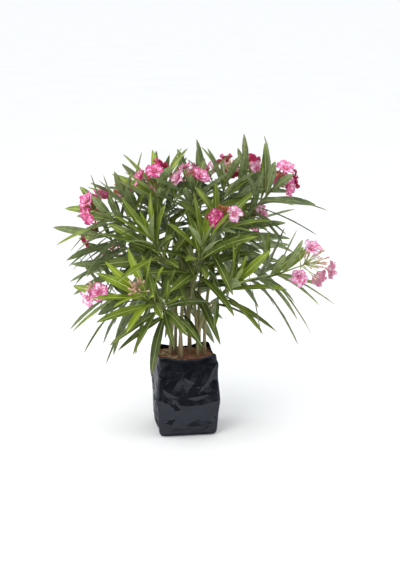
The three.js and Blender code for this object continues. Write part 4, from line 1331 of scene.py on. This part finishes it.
class Nodes:
    """The nodes of a material or a world under construction. The shader is the node that gives its look."""

    def __init__(self, owner, shader, **values):
        owner.use_nodes = True
        self.owner = owner
        self.tree = owner.node_tree
        self.shader = self.tree.nodes[shader]
        self.places = self.add("TexCoord").outputs
        self.feed(self.shader, **values)

    def put(self, socket, value):
        """Sets a socket to a number or a colour, or links another node's output to it."""
        if isinstance(value, bpy.types.NodeSocket):
            self.tree.links.new(value, socket)
        else:
            socket.default_value = value

    def feed(self, node, **values):
        """Sets inputs of a node, named with _ for each space."""
        for name, value in values.items():
            self.put(node.inputs[name.replace("_", " ")], value)

    def add(self, kind, **values):
        node = self.tree.nodes.new("ShaderNode" + kind)
        self.feed(node, **values)
        return node

    def noise(self, size, detail=2, stretch=(1, 1, 1)):
        """Noise from 0 to 1 whose blotches are of this size."""
        place = self.add("Mapping", Vector=self.places["Object"], Scale=stretch).outputs["Vector"]
        return self.add("TexNoise", Vector=place, Scale=1 / size, Detail=detail).outputs["Fac"]

    def compute(self, operation, *values):
        node = self.add("Math")
        node.operation = operation
        for socket, value in zip(node.inputs, values):
            self.put(socket, value)
        return node.outputs["Value"]

    def scaled(self, value, by, plus):
        """The value times one number or output, plus another."""
        return self.compute("MULTIPLY_ADD", value, by, plus)

    def spread(self, value, low, high):
        """The value stretched so that from low to high becomes from 0 to 1."""
        return self.add("MapRange", Value=value, From_Min=low, From_Max=high).outputs["Result"]

    def split(self, vector):
        return self.add("SeparateXYZ", Vector=vector).outputs

    def ramp(self, value, colours, middle=0.5):
        """Colours that follow a value from 0 to 1, evenly but for where the second of three is."""
        node = self.add("ValToRGB", Fac=value)
        places = np.linspace(0, 1, len(colours))
        if len(colours) == 3:
            places[1] = middle
        elements = node.color_ramp.elements
        while len(elements) < len(colours):
            elements.new(0.5)
        for element, place, colour in zip(elements, places, colours):
            element.position = place
            element.color = linear(colour)
        return node.outputs["Color"]

    def finish(self, colour, roughness, height, bump, distance):
        normal = self.add("Bump", Strength=bump, Distance=distance, Height=height).outputs["Normal"]
        self.feed(self.shader, Base_Color=colour, Roughness=roughness, Normal=normal)
        return self.owner


def surface(name, **values):
    """The nodes of a new material."""
    return Nodes(bpy.data.materials.new(name), "Principled BSDF", **values)


def mottled(name, colours, size, detail=3, roughness=(0.45, 0.65), bump=0.25, grain=0.0006,
            distance=0.0004, **values):
    """A material of close colours in soft blotches, with fine grain in its relief and its gloss."""
    nodes = surface(name, **values)
    blotch = nodes.spread(nodes.noise(size, detail), 0.3, 0.7)
    fine = nodes.noise(grain, 2)
    gloss = nodes.scaled(fine, roughness[1] - roughness[0], roughness[0])
    return nodes.finish(nodes.ramp(blotch, colours), gloss, fine, bump, distance)


def leaf_materials(tone):
    """The upper side, midrib and underside of leaves of one tone."""
    _, top, rib, under = LEAF_TONES[tone]
    nodes = surface(tone + "_leaf_top", Specular_IOR_Level=0.36)
    blade = nodes.add("UVMap")
    blade.uv_map = "blade"
    along, aside, _ = nodes.split(blade.outputs["UV"])
    slant = nodes.scaled(aside, -0.55, along)
    wave = nodes.compute("SINE", nodes.compute("MULTIPLY", slant, FULL_TURN / VEIN_STEP))
    veins = nodes.compute("POWER", nodes.scaled(wave, 0.5, 0.5), 3.0)
    fine = nodes.noise(0.0012, 2)
    shade = nodes.scaled(fine, 0.22, nodes.scaled(veins, 0.10, nodes.noise(0.045, 3)))
    colour = nodes.ramp(nodes.spread(shade, 0.42, 0.86), top)
    gloss = nodes.scaled(nodes.noise(0.02, 2), 0.26, 0.26)
    face = nodes.finish(colour, gloss, nodes.scaled(fine, 0.35, veins), 0.35, 0.00018)
    midrib = mottled(tone + "_leaf_midrib", rib, 0.03, roughness=(0.4, 0.6))
    back = mottled(tone + "_leaf_underside", under, 0.012, 4, (0.5, 0.75), 0.35, 0.0016, 0.0003)
    return [face, midrib, back]


def bloom_materials(kind):
    """A bloom's petal face, the flush on it, throat, petal back, tube and anthers."""
    return [mottled(f"{kind}_petal_{part}", colours, 0.011, roughness=(0.5, 0.7), bump=0.3, grain=0.0010,
                    Subsurface_Weight=0.15, Subsurface_Scale=0.004)
            for part, colours in zip(BLOOM_PARTS, BLOOM_COLOURS[kind])]


def bud_materials(kind):
    stalks, skins, sepals = BUD_COLOURS[kind]
    return [
        mottled(kind + "_bud_stalk", stalks, 0.012),
        mottled(kind + "_bud_skin", skins, 0.006, roughness=(0.42, 0.6)),
        mottled(kind + "_bud_calyx", sepals, 0.004),
    ]


def twig_material():
    return mottled("green_twig", TWIG_COLOURS, 0.02, roughness=(0.4, 0.6), bump=0.3, grain=0.0008)


def bark_material():
    """Young bark: beige-brown and corky at the foot, olive green above, speckled with lenticels."""
    if "young_bark" in bpy.data.materials:
        return bpy.data.materials["young_bark"]
    nodes = surface("young_bark", Specular_IOR_Level=0.3)
    height = nodes.split(nodes.places["Object"])["Z"]
    level = nodes.scaled(nodes.noise(0.014, 4, (1, 1, 0.4)), 0.16, height)
    base = nodes.ramp(nodes.spread(level, 0.24, 0.46), BARK_COLOURS, 0.45)
    fleck = nodes.spread(nodes.noise(0.0022, 3, (1, 1, 0.6)), 0.60, 0.68)
    mixed = nodes.add("Mix")
    mixed.data_type = "RGBA"
    nodes.feed(mixed, Factor=fleck, A=base, B=linear(LENTICEL_COLOUR))
    fine = nodes.noise(0.0016, 4, (1, 1, 0.3))
    return nodes.finish(mixed.outputs["Result"], nodes.scaled(fine, 0.3, 0.5), fine, 0.5, 0.0006)


def film_material():
    """Black polythene, glossy, with fine crumples, and paler towards the bottom: a painted reflection of the
    pale floor.
    """
    nodes = surface("black_film", IOR=2.54, Specular_IOR_Level=1.0, Specular_Tint=FILM_GLOSS)
    # Painted reflection: the film's colour grows paler towards the bottom, where it mirrors the pale floor
    depth = nodes.compute("MULTIPLY", nodes.split(nodes.places["Object"])["Z"], -1.0)
    level = nodes.scaled(nodes.noise(0.03, 4), 0.10, depth)
    colour = nodes.ramp(nodes.spread(level, -0.16, 0.06), FILM_AND_FLOOR_REFLECTION_COLOURS)
    gloss = nodes.scaled(nodes.noise(0.012, 3), 0.22, 0.08)
    height = nodes.scaled(nodes.noise(0.0030, 3), 0.15, nodes.noise(0.016, 3))
    return nodes.finish(colour, gloss, height, 0.30, 0.0012)


def soil_material():
    return mottled("coir_soil", SOIL_COLOURS, 0.006, 5, (0.8, 0.95), 0.8, 0.0011, 0.0012)


def dry_leaf_material():
    return mottled("dry_leaf", DRY_LEAF_COLOURS, 0.008, roughness=(0.6, 0.8))


def floor_material():
    return mottled("pale_floor", FLOOR_COLOURS, 0.6, roughness=(0.6, 0.75), bump=0.02, grain=0.01)


# Floor, light and camera
def area_light(name, at, towards, size, power, colour):
    light = bpy.data.lights.new(name, "AREA")
    light.shape = "RECTANGLE"
    light.size, light.size_y = size
    light.energy = power
    light.color = colour
    lamp = linked(name, light)
    lamp.location = at
    lamp.rotation_euler = (Vector(towards) - Vector(at)).to_track_quat("-Z", "Y").to_euler()


def lay_floor():
    """Pale floor out to the horizon."""
    mesh = bpy.data.meshes.new("floor")
    corners = [(FLOOR_REACH * x, FLOOR_REACH * y, 0) for x, y in ((-1, -1), (1, -1), (1, 1), (-1, 1))]
    mesh.from_pydata(corners, [], [(0, 1, 2, 3)])
    mesh.materials.append(floor_material())
    floor = linked("floor", mesh)
    floor.location.z = FLOOR_HEIGHT


def light_dome():
    """Soft light from all round that grows with height. The dome itself looks plain behind the plant."""
    nodes = Nodes(bpy.data.worlds.new("studio"), "Background", Color=DOME_COLOUR)
    height = nodes.split(nodes.places["Generated"])["Z"]
    low, high, dark, light = DOME_LIGHT
    rise = nodes.add("MapRange", Value=height, From_Min=low, From_Max=high, To_Min=dark, To_Max=light)
    rise.interpolation_type = "SMOOTHSTEP"
    seen = nodes.add("LightPath").outputs["Is Camera Ray"]
    mixed = nodes.add("Mix", Factor=seen, A=rise.outputs["Result"], B=DOME_SEEN)
    nodes.feed(nodes.shader, Strength=mixed.outputs["Result"])
    bpy.context.scene.world = nodes.owner


def set_camera():
    """The photograph's camera."""
    data = bpy.data.cameras.new("camera")
    data.lens = CAMERA_LENS
    data.sensor_width = CAMERA_SENSOR
    data.clip_end = CAMERA_CLIP
    camera = linked("camera", data)
    rise = math.radians(CAMERA_RISE)
    camera.location = Vector(CAMERA_AIM) + Vector((0, -math.cos(rise), math.sin(rise))) * CAMERA_AWAY
    camera.rotation_euler = (math.radians(90 - CAMERA_RISE), 0, 0)
    bpy.context.scene.camera = camera
    bpy.context.scene.view_settings.view_transform = "Standard"


# The whole object
def settle(piece, nodes):
    """Puts a piece on its body, in place of its nodes."""
    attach(piece, "root")
    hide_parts(*nodes)


def dress():
    """Every piece of the object."""
    room, shoots, limbs = grow()
    twigs = grow_finer(room, shoots, limbs)
    foliage = [f"foliage_{shoot.name}" for shoot in shoots]
    for tone, ((low, high), *_) in LEAF_TONES.items():
        found = [leaf for leaf in room.blades if low <= leaf.fresh < high]
        settle(leaf_piece(tone, found), foliage)
    for piece in dress_heads(shoots, room):
        settle(piece, foliage)
    settle(dress_twigs(shoots, twigs), foliage)
    for limb in limbs:
        settle(dress_limb(limb), [limb.name])
    settle(dress_bag(), ["grow_bag"])
    settle(dress_soil(), ["substrate"])


lay_floor()
light_dome()
for lamp in LAMPS:
    area_light(*lamp)
set_camera()
dress()
